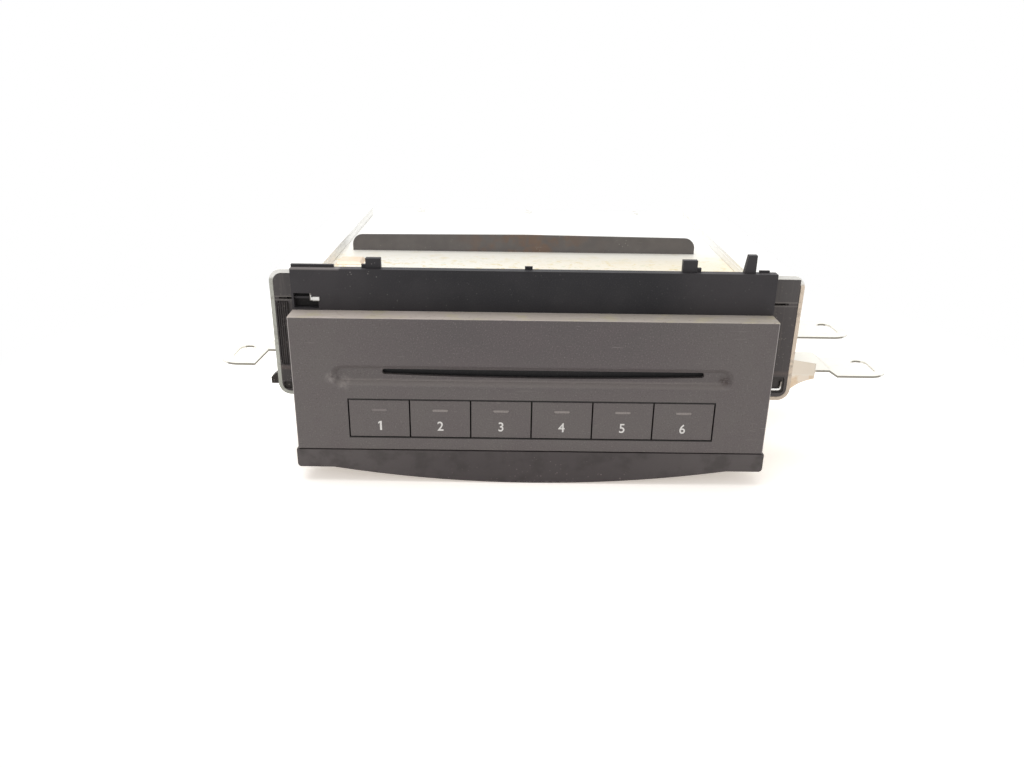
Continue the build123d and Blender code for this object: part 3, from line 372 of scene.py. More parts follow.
# pale marks at the left end of the dish, and a painted shade in its deeper right end: x, z and radius
PALE_MARKS = ((-79.0 * MM, 45.4 * MM, 3.0 * MM), (-74.0 * MM, 43.2 * MM, 3.4 * MM))
DISH_END_SHADE = (75.7 * MM, 45.4 * MM, 3.0 * MM)
# the dish's lower slope, which faces up, painted lighter as a highlight
DISH_LIT_SLOPE = (42.2 * MM, 44.6 * MM)
DISH_END = (74 * MM, 79 * MM)


def speckled_paint(name):
    """Warm grey paint with a fine fleck, darker in the upper middle of the faceplate."""
    finish = Finish(name).matt(0.3)
    x, _, z = finish.axes()
    fleck = finish.noise(0.55 * MM, 2.0, 0.75)
    clouds = finish.noise(14 * MM, 4.0, 0.6)
    middle = (1.0 - x.abs().smooth(25 * MM, 90 * MM)) * z.smooth(30 * MM, 60 * MM)
    shade = finish.mix(middle, PAINT_SIDES, PAINT_MIDDLE)
    shade = finish.mix(clouds.smooth(0.35, 0.7) * 0.4, shade, screen(99, 90, 91))
    shade = finish.mix(fleck.smooth(0.55, 0.75) * 0.55, shade, screen(142, 134, 130))
    shade = finish.mix((1.0 - fleck).smooth(0.56, 0.74) * 0.5, shade, screen(66, 61, 60))
    finish.set(Base_Color=shade, Roughness=finish.noise(1.5 * MM) * 0.12 + 0.42)
    return finish.bump(fleck, 0.15, 0.05 * MM)


def scratches(finish, density, colour, shade):
    """Short pale scratches along X."""
    lines = finish.noise(1.0, 1.0, 0.5, finish.stretched(110, 2600, 2600)).smooth(0.70, 0.76)
    return finish.mix(lines * finish.noise(11 * MM).smooth(0.5, 0.62) * density, shade, colour)


def ledge_dust(finish, x):
    """Dust and a painted highlight on the ledge on top: paler as lit from above, in streaks and stains
    with dark specks.
    """
    dust = finish.mix(x.smooth(-60 * MM, 60 * MM), screen(178, 168, 160), screen(166, 158, 149))
    stains = finish.noise(9 * MM, 4.0).smooth(0.5, 0.7)
    streaks = finish.noise(1.0, 3.0, 0.6, finish.stretched(70, 900, 900)).smooth(0.5, 0.75)
    specks = (1.0 - finish.noise(1.6 * MM, 2.0, 0.7)).smooth(0.58, 0.72)
    dust = finish.mix(stains * 0.6, dust, screen(178, 170, 142))
    dust = finish.mix(streaks * 0.6, dust, screen(198, 189, 184))
    return finish.mix(specks * 0.4, dust, screen(128, 112, 108))


def key_window(x, z):
    """1 in the faceplate's window for the keys, with the rim of the gap."""
    half_width = (KEYS_HIGH.x - KEYS_LOW.x) / 2 + KEY_GAP + GAP_RIM
    half_height = (KEY_HIGH_Z - KEY_LOW_Z) / 2 + KEY_GAP + GAP_RIM
    up = (z - (KEY_LOW_Z + KEY_HIGH_Z) / 2).abs()
    return ((1.0 - x.abs().smooth(half_width - EDGE_SOFTNESS, half_width))
            * (1.0 - up.smooth(half_height - EDGE_SOFTNESS, half_height)))


def bezel_finish():
    finish = speckled_paint("bezel_paint")
    x, y, z = finish.axes()
    shade = scratches(finish, 0.3, screen(160, 152, 147), finish.colour())
    cloudy = finish.noise(1.6 * MM, 4.0, 0.7).smooth(0.3, 0.62)
    pale = finish.spot(*PALE_MARKS[0]).max(finish.spot(*PALE_MARKS[1]))
    shade = finish.mix(pale * cloudy * 0.5, shade, screen(160, 152, 148))
    # painted shade in the deep right end of the dish
    shade = finish.mix(finish.spot(*DISH_END_SHADE) * cloudy * 0.7, shade, screen(58, 42, 40))
    front = 1.0 - (y - FACE_LOW.y).smooth(0.3 * MM, 0.8 * MM)
    # painted highlight and wear: the upright edges of the face are painted paler
    rubbed_edge_and_highlight = x.abs().smooth(HALF_FACE - 0.5 * MM, HALF_FACE - 0.2 * MM) * front
    wear_and_highlight_patches = finish.noise(3 * MM, 3.0).smooth(0.2, 0.45) * 0.6 + 0.2
    shade = finish.mix(rubbed_edge_and_highlight * wear_and_highlight_patches, shade, screen(190, 182, 178))
    ledge = (z - FACE_HIGH.z).smooth(-0.25 * MM, -0.12 * MM)
    shade = finish.mix(ledge, shade, ledge_dust(finish, x))
    # painted highlight: the dish's lower slope is painted lighter
    lit_slope = z.within(*DISH_LIT_SLOPE, 0.6 * MM) * (1.0 - x.abs().smooth(*DISH_END))
    shade = finish.mix(lit_slope * 0.35, shade, screen(150, 142, 137))
    # painted shade: the gap round the keys is painted near-black
    finish.set(Base_Color=finish.mix(key_window(x, z), shade, GAP_SHADE_BLACK))
    return finish.material


def key_finish(number):
    """Key paint, with the key's sides and the very edge of its face painted black, as shade in the gap.
    """
    finish = speckled_paint(f"key_paint_{number}")
    x, y, z = finish.axes()
    low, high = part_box(f"key_{number}")
    edge = 0.12 * MM
    inside = (x.within(low.x + edge, high.x - edge)
              * z.within(KEY_LOW_Z + GAP_RIM, KEY_HIGH_Z - GAP_RIM))
    face = inside * (1.0 - (y - low.y).smooth(0.40 * MM, 0.45 * MM))
    shade = scratches(finish, 0.35, screen(160, 152, 148), finish.colour())
    finish.set(Base_Color=finish.mix(face, GAP_SHADE_BLACK, shade))
    return finish.material


bezel_paint = bezel_finish()
print("faceplate", [round(v * 1000, 1) for v in FACE_HIGH - FACE_LOW], "mm")

# %% [markdown]
# The frame behind the faceplate is black plastic with a fine moulded grain. It has faded to
# grey towards both ends and carries dust, most of it on the left, and its chin, which is
# handled more, is browner.
# The guide blocks beside it are the same plastic, greyer with wear, with faint flow lines.

# %% Black plastics
CHIN_WORN_TOP = 1.4 * MM
RIM_LOW, RIM_HIGH, RIM_RIGHT = 85.95 * MM, 86.5 * MM, -74.5 * MM
# edges of the groove on the guide blocks, painted as pale highlight lines
GROOVE_UPPER_EDGE = (73.15 * MM, 73.6 * MM)
GROOVE_LOWER_EDGE = (71.6 * MM, 72.2 * MM)
POCKET_RIM = (42.5 * MM, 43.9 * MM)


def moulded_black(name, colour, faded, dust=0.5):
    """Fine-grained black plastic, faded towards both ends; returns the finish and its pores."""
    finish = Finish(name).matt(0.25)
    x, _, _ = finish.axes()
    fade = (1.0 - x.smooth(-90 * MM, -30 * MM)).max(x.smooth(45 * MM, 70 * MM))
    fade = fade * 0.8 + finish.noise(18 * MM, 4.0).smooth(0.4, 0.75) * 0.35
    shade = finish.mix(fade, colour, faded)
    specks = finish.flecks(2.3 * MM, 0.36 * MM) * finish.noise(10 * MM).smooth(0.40, 0.6)
    specks = specks * ((1.0 - x.smooth(-80 * MM, -10 * MM)) * 0.8 + 0.2)
    shade = finish.mix(specks * dust, shade, screen(138, 134, 130))
    pores = finish.noise(0.5 * MM, 2.0, 0.7)
    finish.set(Base_Color=finish.mix(pores.smooth(0.5, 0.8) * 0.35, shade, screen(82, 79, 79)),
               Roughness=finish.noise(4 * MM) * 0.2 + 0.42)
    return finish, pores


def chin_shade(finish, x, z):
    """The chin's browner black, with smudges, scuffs near the middle and a worn lower edge."""
    shade = finish.mix(x.abs().smooth(20 * MM, 85 * MM), screen(79, 73, 73), screen(93, 87, 86))
    smudge = finish.noise(8 * MM, 4.0).smooth(0.45, 0.7)
    shade = finish.mix(smudge * 0.5, shade, screen(62, 57, 56))
    scuffs = finish.flecks(1.6 * MM, 0.42 * MM) * finish.noise(7 * MM).smooth(0.48, 0.62)
    scuffs = scuffs * (1.0 - x.abs().smooth(15 * MM, 60 * MM)) * (1.0 - z.smooth(3 * MM, 9 * MM) * 0.7)
    scuffs = scuffs * finish.noise(1.2 * MM).smooth(0.4, 0.7)
    shade = finish.mix(scuffs * 0.8, shade, screen(176, 160, 156))
    worn = (CHIN_WORN_TOP - z).smooth(0.0, 0.8 * MM) * finish.noise(2.5 * MM).smooth(0.45, 0.6)
    return finish.mix(worn * 0.3, shade, screen(150, 142, 138))


def frame_plastic():
    finish, pores = moulded_black("frame_plastic", screen(39, 38, 41), screen(61, 58, 60))
    x, y, z = finish.axes()
    below = (FACE_LOW.z - z).smooth(0.0, 0.2 * MM)
    chin = below * (FACE_HIGH.y - y).smooth(-0.3 * MM, 0.1 * MM)
    rim = z.within(RIM_LOW, RIM_HIGH) * (RIM_RIGHT - x).smooth(0.0, 1 * MM)
    plate = finish.mix(rim * 0.7, finish.colour(), screen(132, 126, 124))
    finish.set(Base_Color=finish.mix(chin, plate, chin_shade(finish, x, z)))
    return finish.bump(pores, 0.15, 0.05 * MM).material


def block_plastic(name, colour, faded):
    """Worn black plastic with upright flow lines; the right-hand block is greyer."""
    finish, pores = moulded_black(name, colour, faded)
    x, _, z = finish.axes()
    streaks = finish.noise(1.0, 2.0, 0.6, finish.stretched(1100, 1100, 45))
    grit = finish.flecks(1.1 * MM, 0.3 * MM) * finish.noise(5 * MM).smooth(0.45, 0.6)
    shade = finish.mix(x.smooth(0.0, 10 * MM) * 0.28, finish.colour(), screen(112, 106, 104))
    shade = finish.mix(streaks.smooth(0.52, 0.75) * 0.45, shade, screen(112, 104, 98))
    shade = finish.mix(grit * 0.5, shade, screen(150, 142, 134))
    shade = finish.mix(z.within(*POCKET_RIM, 0.8 * MM) * 0.5, shade, screen(118, 104, 98))
    above = z.smooth(73.5 * MM, 73.9 * MM)
    shade = finish.mix(above * 0.5, shade, screen(92, 89, 88))
    # painted highlight: pale lines along the upper and lower edges of the groove
    groove_highlight = z.within(*GROOVE_UPPER_EDGE).max(z.within(*GROOVE_LOWER_EDGE) * 0.6)
    finish.set(Base_Color=finish.mix(groove_highlight * 0.6, shade, screen(138, 133, 128)))
    return finish.bump(pores + streaks, 0.2, 0.08 * MM).material


def plain_black(name, shade):
    finish, pores = moulded_black(name, shade, scaled(shade, 1.35), dust=0.1)
    return finish.bump(pores, 0.15, 0.05 * MM).material


frame_black = frame_plastic()
block_black = block_plastic("block_plastic", screen(66, 61, 60), screen(74, 69, 69))
# a darker copy for the blocks' own bodies, which show inside the slots and the pocket: painted shade
pocket_shade_black = block_plastic("pocket_shade_plastic", screen(42, 38, 35), screen(47, 42, 39))
inner_black = plain_black("inner_black", screen(34, 33, 34))
print("black plastics ready")

# %% [markdown]
# The housing is thin steel sheet with a pale zinc plate. In the photograph it's almost white and
# a little yellow, with small yellow and greenish stains where the plating has aged. Under a
# broad white light a sheet like this reads as pale grey paint with a soft sheen, so it's only
# partly metallic, and its rolling lines are a stretched noise.

# %% Plated sheet
# the square place on the cover, near its front left corner
PAD_X, PAD_Y = (-83.4 * MM, -71.6 * MM), (-51.5 * MM, -39.5 * MM)
# where the painted shade at the tan root of a right-hand ear ends, along X and Z
ROOT_END, ROOT_TOP = (117.5 * MM, 119 * MM), (40.5 * MM, 42 * MM)
ROOT_SHADE_TANS = screen(240, 226, 208), screen(228, 204, 174)


def plated_sheet(name, colour, stain, stains=0.5, metallic=0.25, roughness=0.38):
    """Sheet with rolling lines along X, stained in patches and in dots."""
    finish = Finish(name)
    rolled = finish.noise(1.0, 2.0, 0.5, finish.stretched(60, 2200, 2200))
    patch = finish.noise(9 * MM, 5.0, 0.65)
    dots = finish.flecks(4.0 * MM, 0.45 * MM) * finish.noise(14 * MM).smooth(0.45, 0.6)
    shade = finish.mix(patch.smooth(0.52, 0.75) * stains, colour, stain)
    shade = finish.mix(dots * stains, shade, scaled(stain, 0.55))
    shade = finish.mix(rolled.smooth(0.4, 0.8) * 0.10, shade, scaled(colour, 0.8))
    finish.set(Base_Color=shade, Metallic=metallic, Roughness=rolled * 0.12 + roughness)
    return finish.bump(rolled, 0.08, 0.03 * MM).material


def cover_finish():
    """Pale plate, stained along the front where the hands that fit it take hold, and painted near-white
    towards the back as a blown-out highlight.
    """
    material = plated_sheet("cover_sheet", screen(240, 237, 228), screen(226, 212, 172), 0.35)
    finish = Finish.of(material)
    x, y, _ = finish.axes()
    front = 1.0 - y.smooth(-46 * MM, -26 * MM)
    patch = finish.noise(5 * MM, 5.0, 0.7)
    yellow = front * x.smooth(-60 * MM, 80 * MM)
    shade = finish.mix(yellow * 0.5, finish.colour(), screen(236, 222, 190))
    shade = finish.mix(front * patch.smooth(0.52, 0.66) * 0.7, shade, screen(218, 200, 140))
    shade = finish.mix(front * (1.0 - patch).smooth(0.55, 0.66) * 0.5, shade, screen(198, 206, 172))
    shade = finish.mix(x.within(*PAD_X) * y.within(*PAD_Y) * 0.7, shade, screen(232, 206, 178))
    # painted highlight: the back of the cover is painted near-white, blown out under the light
    finish.set(Base_Color=finish.mix(y.smooth(-30 * MM, 0.0), shade, screen(252, 252, 249)))
    return material


def bracket_finish(name, node, edge):
    """Near-white plate with a cut edge along the front of a bracket, partly bare steel and partly
    painted shade.
    """
    material = plated_sheet(name, screen(250, 249, 246), screen(240, 234, 224), 0.3)
    finish = Finish.of(material)
    _, y, z = finish.axes()
    cut = 1.0 - (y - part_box(node)[0].y).smooth(0.1 * MM, 0.4 * MM)
    # painted shade: the cut edge is darker towards the bottom
    low = 1.0 - z.smooth(36 * MM, 46 * MM)
    bare_and_shade = finish.mix(low * 0.6, edge, scaled(edge, 0.72))
    bare_and_shade = finish.mix(finish.noise(2 * MM).smooth(0.5, 0.7) * 0.4, bare_and_shade, screen(120, 112, 104))
    bare_and_shade = finish.mix(z.smooth(80 * MM, 81.5 * MM), bare_and_shade, screen(248, 246, 240))
    finish.set(Base_Color=finish.mix(cut, finish.colour(), bare_and_shade))
    return material


def ear_finish():
    """Near-white plate with painted shade: tan near the bracket, and darker on the cut edges that face
    front or back, partly bare steel.
    """
    material = plated_sheet("ear_sheet", screen(250, 247, 238), screen(240, 236, 206), 0.4)
    finish = Finish.of(material)
    x, _, z = finish.axes()
    _, facing, _ = finish.split(finish.node("ShaderNodeNewGeometry", "Normal"))
    beside = (1.0 - x.smooth(*ROOT_END)) * x.smooth(0.0, 1 * MM)
    root = beside * (1.0 - z.smooth(*ROOT_TOP))
    root_shade = finish.mix(finish.noise(3 * MM, 4.0).smooth(0.45, 0.65), *ROOT_SHADE_TANS)
    bare_and_shade = finish.mix(beside, screen(120, 114, 100), screen(233, 219, 200))
    # painted shade on the faces that look front or back, partly bare steel
    cut = (facing.abs() - 0.8).smooth(0.0, 0.1) * (1.0 - root)
    shade = finish.mix(root, finish.colour(), root_shade)
    finish.set(Base_Color=finish.mix(cut * 0.85, shade, bare_and_shade))
    return material


cover_sheet = cover_finish()
inner_sheet = plated_sheet("inner_sheet", screen(206, 205, 200), screen(190, 182, 160), 0.3, 0.7, 0.3)
left_bracket_sheet = bracket_finish("left_bracket_sheet", "bracket_left", screen(184, 184, 174))
right_bracket_sheet = bracket_finish("right_bracket_sheet", "bracket_right", screen(226, 208, 188))
ear_sheet = ear_finish()
white_sheet = plated_sheet("white_sheet", screen(251, 250, 247), screen(240, 236, 226), 0.2)
print("sheets: cover, inner, brackets, ears")

# %% [markdown]
# The strip across the cover is painted dark grey, with a brown stain in its middle.

# %% Hook plate paint
STAIN_X = -2 * MM


def hook_paint():
    finish = Finish("hook_paint").matt(0.3)
    x, _, _ = finish.axes()
    stain = 1.0 - (x - STAIN_X).abs().smooth(8 * MM, 40 * MM)
    stain = stain * finish.noise(6 * MM, 5.0).smooth(0.42, 0.62)
    clouds = finish.noise(5 * MM, 4.0).smooth(0.3, 0.7)
    shade = finish.mix(clouds * 0.5, screen(98, 94, 93), screen(111, 106, 104))
    shade = finish.mix(stain * 0.6, shade, screen(120, 94, 76))
    grit = finish.flecks(1.5 * MM, 0.35 * MM) * finish.noise(8 * MM).smooth(0.5, 0.65)
    shade = finish.mix(grit * 0.5, shade, screen(150, 146, 140))
    shade = scratches(finish, 0.4, screen(140, 136, 130), shade)
    finish.set(Base_Color=shade, Roughness=finish.noise(2 * MM) * 0.15 + 0.4)
    return finish.bump(finish.noise(0.6 * MM), 0.1, 0.05 * MM).material


hook_grey = hook_paint()

# %% [markdown]
# Small metal pieces are bright plated steel, the motors have a brushed can, and the pinions are
# brass. All three are the same idea: a metal with turning lines and a few duller spots. The clip
# has a painted highlight on a band where it faces the light and is painted dark as shade elsewhere,
# and the spring is painted darker, as shade, where it runs into the block.

# %% Bright metals
PLATED = (0.82, 0.81, 0.79)
CLIP_SHINE_Z, CLIP_SHINE_X = (74.0 * MM, 76.0 * MM), (-86.8 * MM, -86.5 * MM)
SPRING_SHADE_Z = (36.6 * MM, 38.2 * MM)


def turned_metal(name, colour, roughness):
    """Bright metal with fine turning lines and a few duller spots."""
    finish = Finish(name)
    lines = finish.noise(1.0, 2.0, 0.5, finish.stretched(1500, 1500, 1500))
    dull = finish.noise(3 * MM, 3.0).smooth(0.5, 0.75)
    finish.set(Base_Color=finish.mix(dull * 0.2, colour, scaled(colour, 0.6)), Metallic=1.0,
               Roughness=lines * 0.1 + dull * 0.15 + roughness)
    return finish.bump(lines, 0.05, 0.02 * MM).material


bright_steel = turned_metal("bright_steel", PLATED, 0.16)
motor_steel = turned_metal("motor_steel", (0.62, 0.62, 0.60), 0.30)
brass = turned_metal("brass", (0.72, 0.54, 0.24), 0.22)

clip_steel = turned_metal("clip_steel", (0.75, 0.74, 0.72), 0.3)
clip = Finish.of(clip_steel)
x, _, z = clip.axes()
# painted highlight on a band of the clip; the rest is painted dark as shade
shine = z.within(*CLIP_SHINE_Z) * x.smooth(*CLIP_SHINE_X)
clip.set(Base_Color=clip.mix(shine, screen(112, 108, 104), PLATED))

spring_steel = turned_metal("spring_steel", PLATED, 0.2)
spring = Finish.of(spring_steel)
_, _, z = spring.axes()
# painted shade: the spring is darker upwards, where it runs into the block
spring.set(Base_Color=spring.mix(z.smooth(*SPRING_SHADE_Z), PLATED, screen(132, 126, 120)))
print("bright metals ready")

# %% [markdown]
# Inside are circuit boards, rubber, white acetal gears and small clear lamps. The boards are
# green, with tracks that show through the lacquer. The tracks are the steps of one slow noise:
# its value is multiplied, and the fraction that's left crosses the same level again and again.

# %% Inner finishes
TRACK_COUNT = 14.0


def circuit_board():
    finish = Finish("circuit_board")
    wander = finish.noise(5 * MM, 2.0) * TRACK_COUNT
    tracks = wander.math("FRACT", wander).smooth(0.62, 0.72)
    pads = finish.flecks(3.0 * MM, 0.7 * MM)
    shade = finish.mix(tracks * 0.6, screen(34, 82, 52), screen(58, 112, 70))
    shade = finish.mix(pads * 0.8, shade, screen(186, 186, 180))
    finish.set(Base_Color=shade, Roughness=0.35)
    finish.shader.inputs["Coat Weight"].default_value = 0.4
    return finish.bump(tracks, 0.15, 0.04 * MM).material


def soft_plastic(name, colour, roughness, fleck=0.15):
    """Plain moulded plastic or rubber with a fine grain."""
    finish = Finish(name)
    grain = finish.noise(0.7 * MM, 3.0)
    shade = finish.mix(grain.smooth(0.4, 0.7) * fleck, colour, scaled(colour, 0.7))
    finish.set(Base_Color=shade, Roughness=grain * 0.15 + roughness)
    return finish.bump(grain, 0.12, 0.05 * MM).material


board_green = circuit_board()
rubber = soft_plastic("rubber", screen(40, 40, 41), 0.7, 0.4)
acetal = soft_plastic("acetal", screen(226, 224, 214), 0.35)
lamp_clear = soft_plastic("lamp_clear", screen(214, 212, 200), 0.15)
chip_black = soft_plastic("chip_black", screen(38, 38, 40), 0.5)
print("inner finishes ready")

# %% [markdown]
# The socket on the back is black plastic with two rows of plated pins. The pins belong to the
# same solid as the shell, so the finish finds them by their place inside the shell.

# %% Rear socket
PIN_GOLD = (0.80, 0.66, 0.36)
# the pins stand in a space this far to each side and up and down from the shell's middle
PINS_ACROSS, PINS_UP = (15.5 * MM, 15.7 * MM), (4.2 * MM, 4.4 * MM)
PINS_START, PINS_END = 5.05 * MM, 7 * MM


def socket_plastic():
    """Black plastic, with gold where the pins are."""
    low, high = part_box("rear_connector")
    middle = (low + high) / 2
    finish = Finish.of(soft_plastic("socket_plastic", screen(42, 42, 44), 0.45))
    x, y, z = finish.axes()
    across = 1.0 - (x - middle.x).abs().smooth(*PINS_ACROSS)
    up = 1.0 - (z - middle.z).abs().smooth(*PINS_UP)
    start = (y - (low.y + PINS_START)).smooth(0.0, 0.02 * MM)
    end = 1.0 - (y - (high.y - PINS_END)).smooth(0.0, 0.1 * MM)
    pins = across * up * start * end
    finish.set(Base_Color=finish.mix(pins, finish.colour(), PIN_GOLD), Metallic=pins)
    return finish.material


socket_black = socket_plastic()

# %% [markdown]
# Every solid gets its finish here. The table reads as a list of what is made of what.

# %% Finishes on the solids
FINISHES = {
    "bezel": bezel_paint, "front_frame": frame_black, "frame_clip": clip_steel,
    "chassis_pan": inner_sheet,
    "top_cover": cover_sheet, "housing_screws": white_sheet, "top_hook_plate": hook_grey,
    "rear_connector": socket_black, "bracket_left": left_bracket_sheet,
    "bracket_right": right_bracket_sheet,
    "guide_block_left": pocket_shade_black, "guide_block_right": pocket_shade_black, "bracket_screws": bright_steel,
    "ear_left": ear_sheet, "ear_right_front": ear_sheet, "ear_right_rear": ear_sheet,
    "bracket_spring": spring_steel, "slot_shutter": inner_black, "keypad_board": board_green,
    "key_switches": chip_black, "key_lights": lamp_clear, "main_board": board_green,
    "board_parts": chip_black,
    "deck_dampers": rubber, "mech_deck": inner_sheet, "roller_frame": inner_sheet,
    "disc_guide": inner_black,
    "load_roller": rubber, "roller_shaft": bright_steel, "roller_gear": acetal, "idler_gear": acetal,
    "load_pinion": brass, "load_motor": motor_steel, "guide_rods": bright_steel,
    "lift_post_front": acetal,
    "lift_post_rear": acetal, "lift_rack": inner_black, "lift_pinion": brass, "lift_motor": motor_steel,
    "swing_arm": inner_sheet, "clamp_arm": inner_sheet, "clamp_puck": inner_black,
    "spindle_motor": motor_steel,
    "turntable": inner_black, "pickup": inner_black, "sled_rods": bright_steel,
    "lead_screw": bright_steel,
    "sled_motor": motor_steel,
}
KEYS = range(1, 7)
for number in KEYS:
    FINISHES[f"key_{number}"] = key_finish(number)
    FINISHES[f"disc_tray_{number}"] = inner_black

for name, material in FINISHES.items():
    mesh = nodes[name].data
    mesh.materials.clear()
    mesh.materials.append(material)
print("dressed", len(FINISHES), "of", len(nodes), "solids")

# %% [markdown]
# The keys are numbered 1 to 6 in plain pale print, and above each number is a small bar that a
# lamp shines through. A number is a text object turned into a thin mesh, stood upright on the
# key's face. It rides with its key, so it goes in when the key is pressed. The font's own 1 is
# a plain stroke, so that one is drawn with its flag.

# %% Helpers for scene pieces
def add_mesh(name, mesh, material, body):
    """Puts a finished mesh into the scene, riding on a body of the mechanical model."""
    mesh.materials.clear()
    mesh.materials.append(material)
    made = bpy.data.objects.new(name, mesh)
    bpy.context.scene.collection.objects.link(made)
    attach(made, body)


def evaluated_mesh(name, data, prepare=None):
    """The mesh that a curve, a text or a modifier makes, without its object."""
    holder = bpy.data.objects.new(f"{name}_holder", data)
    bpy.context.scene.collection.objects.link(holder)
    if prepare:
        prepare(holder)
    bpy.context.view_layer.update()
    mesh = bpy.data.meshes.new_from_object(holder.evaluated_get(bpy.context.evaluated_depsgraph_get()))
    bpy.data.objects.remove(holder)
    mesh.name = name
    return mesh


def flat_mesh(name, loops, thickness, front, soft=0.0):
    """A plate with holes, cut to loops of (x, z) points, standing upright with its face at front."""
    outline = bpy.data.curves.new(f"{name}_outline", "CURVE")
    outline.dimensions = "2D"
    outline.fill_mode = "BOTH"
    outline.extrude = thickness / 2 - soft
    outline.bevel_depth = soft
    outline.offset = -soft
    outline.bevel_resolution = 2
    for loop in loops:
        spline = outline.splines.new("POLY")
        spline.points.add(len(loop) - 1)
        for point, (x, z) in zip(spline.points, loop):
            point.co = (x, z, 0.0, 1.0)
        spline.use_cyclic_u = True
    mesh = evaluated_mesh(name, outline)
    for vertex in mesh.vertices:
        x, z, depth = vertex.co
        vertex.co = (x, front + thickness / 2 - depth, z)
    return mesh


def skin_mesh(name, rings):
    """A closed mesh through rings of points, with a face on the first ring and on the last."""
    bm = bmesh.new()
    rings = [[bm.verts.new(point) for point in ring] for ring in rings]
    for first, second in zip(rings, rings[1:]):
        for i in range(len(first)):
            j = (i + 1) % len(first)
            bm.faces.new((first[i], first[j], second[j], second[i]))
    bm.faces.new(rings[0])
    bm.faces.new(rings[-1])
    bmesh.ops.recalc_face_normals(bm, faces=bm.faces)
    mesh = bpy.data.meshes.new(name)
    bm.to_mesh(mesh)
    bm.free()
    return mesh


# %% Numbers on the keys
PRINT_HEIGHT = 4.0 * MM
PRINT_Z = 25.3 * MM
PRINT_THICKNESS = 0.015 * MM
PRINT_BOLD = 0.012
PRINT_WIDTH_SHARE = 0.94
KEY_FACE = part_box("key_1")[0].y
# the figure 1 in shares of its height, from its lower left corner
ONE_STROKE_LEFT = 0.16
ONE_OUTLINE = ((ONE_STROKE_LEFT, 0.0), (0.36, 0.0), (0.36, 1.0), (0.20, 1.0), (0.0, 0.86),
               (0.0, 0.70), (ONE_STROKE_LEFT, 0.79))


def key_centre(number):
    low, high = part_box(f"key_{number}")
    return (low.x + high.x) / 2


def one_mesh():
    left = key_centre(1) - ONE_STROKE_LEFT * PRINT_HEIGHT
    loop = [(left + x * PRINT_HEIGHT, PRINT_Z + (z - 0.5) * PRINT_HEIGHT) for x, z in ONE_OUTLINE]
    return flat_mesh("number_1", [loop], PRINT_THICKNESS, KEY_FACE - PRINT_THICKNESS)


def number_mesh(number):
    """A figure from Blender's own font, scaled to the print's height and stood on its key."""
    text = bpy.data.curves.new(f"number_{number}_text", "FONT")
    text.body = str(number)
    text.offset = PRINT_BOLD
    text.extrude = 0.5
    mesh = evaluated_mesh(f"number_{number}", text)
    xs = [vertex.co.x for vertex in mesh.vertices]
    ys = [vertex.co.y for vertex in mesh.vertices]
    scale = PRINT_HEIGHT / (max(ys) - min(ys))
    middle_x, middle_y = (max(xs) + min(xs)) / 2, (max(ys) + min(ys)) / 2
    for vertex in mesh.vertices:
        x, y, depth = vertex.co
        vertex.co = (key_centre(number) + (x - middle_x) * scale * PRINT_WIDTH_SHARE,
                     KEY_FACE - PRINT_THICKNESS * (0.5 + depth), PRINT_Z + (y - middle_y) * scale)
    return mesh


number_print = soft_plastic("number_print", screen(228, 224, 219), 0.45, 0.05)
for number in KEYS:
    figure = one_mesh() if number == 1 else number_mesh(number)
    add_mesh(f"number_{number}", figure, number_print, f"key_{number}")
print("numbers", PRINT_HEIGHT * 1000, "mm tall")

# %% [markdown]
# Each light bar is a smoky lens pressed into the shallow groove of its key. It's a flat bar with
# rounded ends and a slightly raised middle.

# %% Light bars
BAR_WIDTH, BAR_HEIGHT, BAR_Z, BAR_DEPTH = 6.3 * MM, 1.15 * MM, 32.0 * MM, 0.29 * MM
BAR_STEPS = 16
# each ring of a lens: its share of the full size, and how much of the groove's depth it fills
BAR_RINGS = ((1.0, 0.0), (1.0, 0.75), (0.82, 1.0))
# the lens's foot stands this share of the depth behind the groove's floor, so no gap shows
BAR_FOOT = 1.03


def lens_finish(name, shade):
    """A smoky lens."""
    finish = Finish(name).matt(0.3)
    cloud = finish.noise(0.6 * MM).smooth(0.4, 0.7)
    finish.set(Base_Color=finish.mix(cloud * 0.3, shade, screen(108, 101, 99)),
               Roughness=finish.noise(1 * MM) * 0.1 + 0.3)
    return finish.material


def bar_mesh(number):
    half_width, half_height = BAR_WIDTH / 2, BAR_HEIGHT / 2
    around = []
    for step in range(BAR_STEPS):
        angle = math.tau * step / BAR_STEPS
        across, up = math.cos(angle), math.sin(angle)
        end = math.copysign(half_width - half_height, across) if abs(across) > 0.01 else 0.0
        around.append((end + across * half_height, up * half_height))
    rings = []
    for share, forward in BAR_RINGS:
        width_share = (half_width - (1 - share) * half_height) / half_width
        y = KEY_FACE + BAR_DEPTH * (BAR_FOOT - forward)
        rings.append([(key_centre(number) + x * width_share, y, BAR_Z + z * share) for x, z in around])
    return skin_mesh(f"light_bar_{number}", rings)


dim_lens = lens_finish("dim_lens", screen(127, 119, 117))
pale_lens = lens_finish("pale_lens", screen(146, 138, 134))
for number in KEYS:
    lens = dim_lens if number == 1 else pale_lens
    add_mesh(f"light_bar_{number}", bar_mesh(number), lens, f"key_{number}")
print("light bars", round(BAR_WIDTH * 1000, 1), "x", round(BAR_HEIGHT * 1000, 1), "mm")

# %% [markdown]
# Geometry Nodes make what repeats. One kind of tree serves both such details here: it takes a
# cloud of points and puts the same few boxes on each of them, turned as its inputs say. The
# first detail is the cross recess in each screw head, two thin boxes laid across each other.
# The Tilt input turns them upright for the screws on the sides.

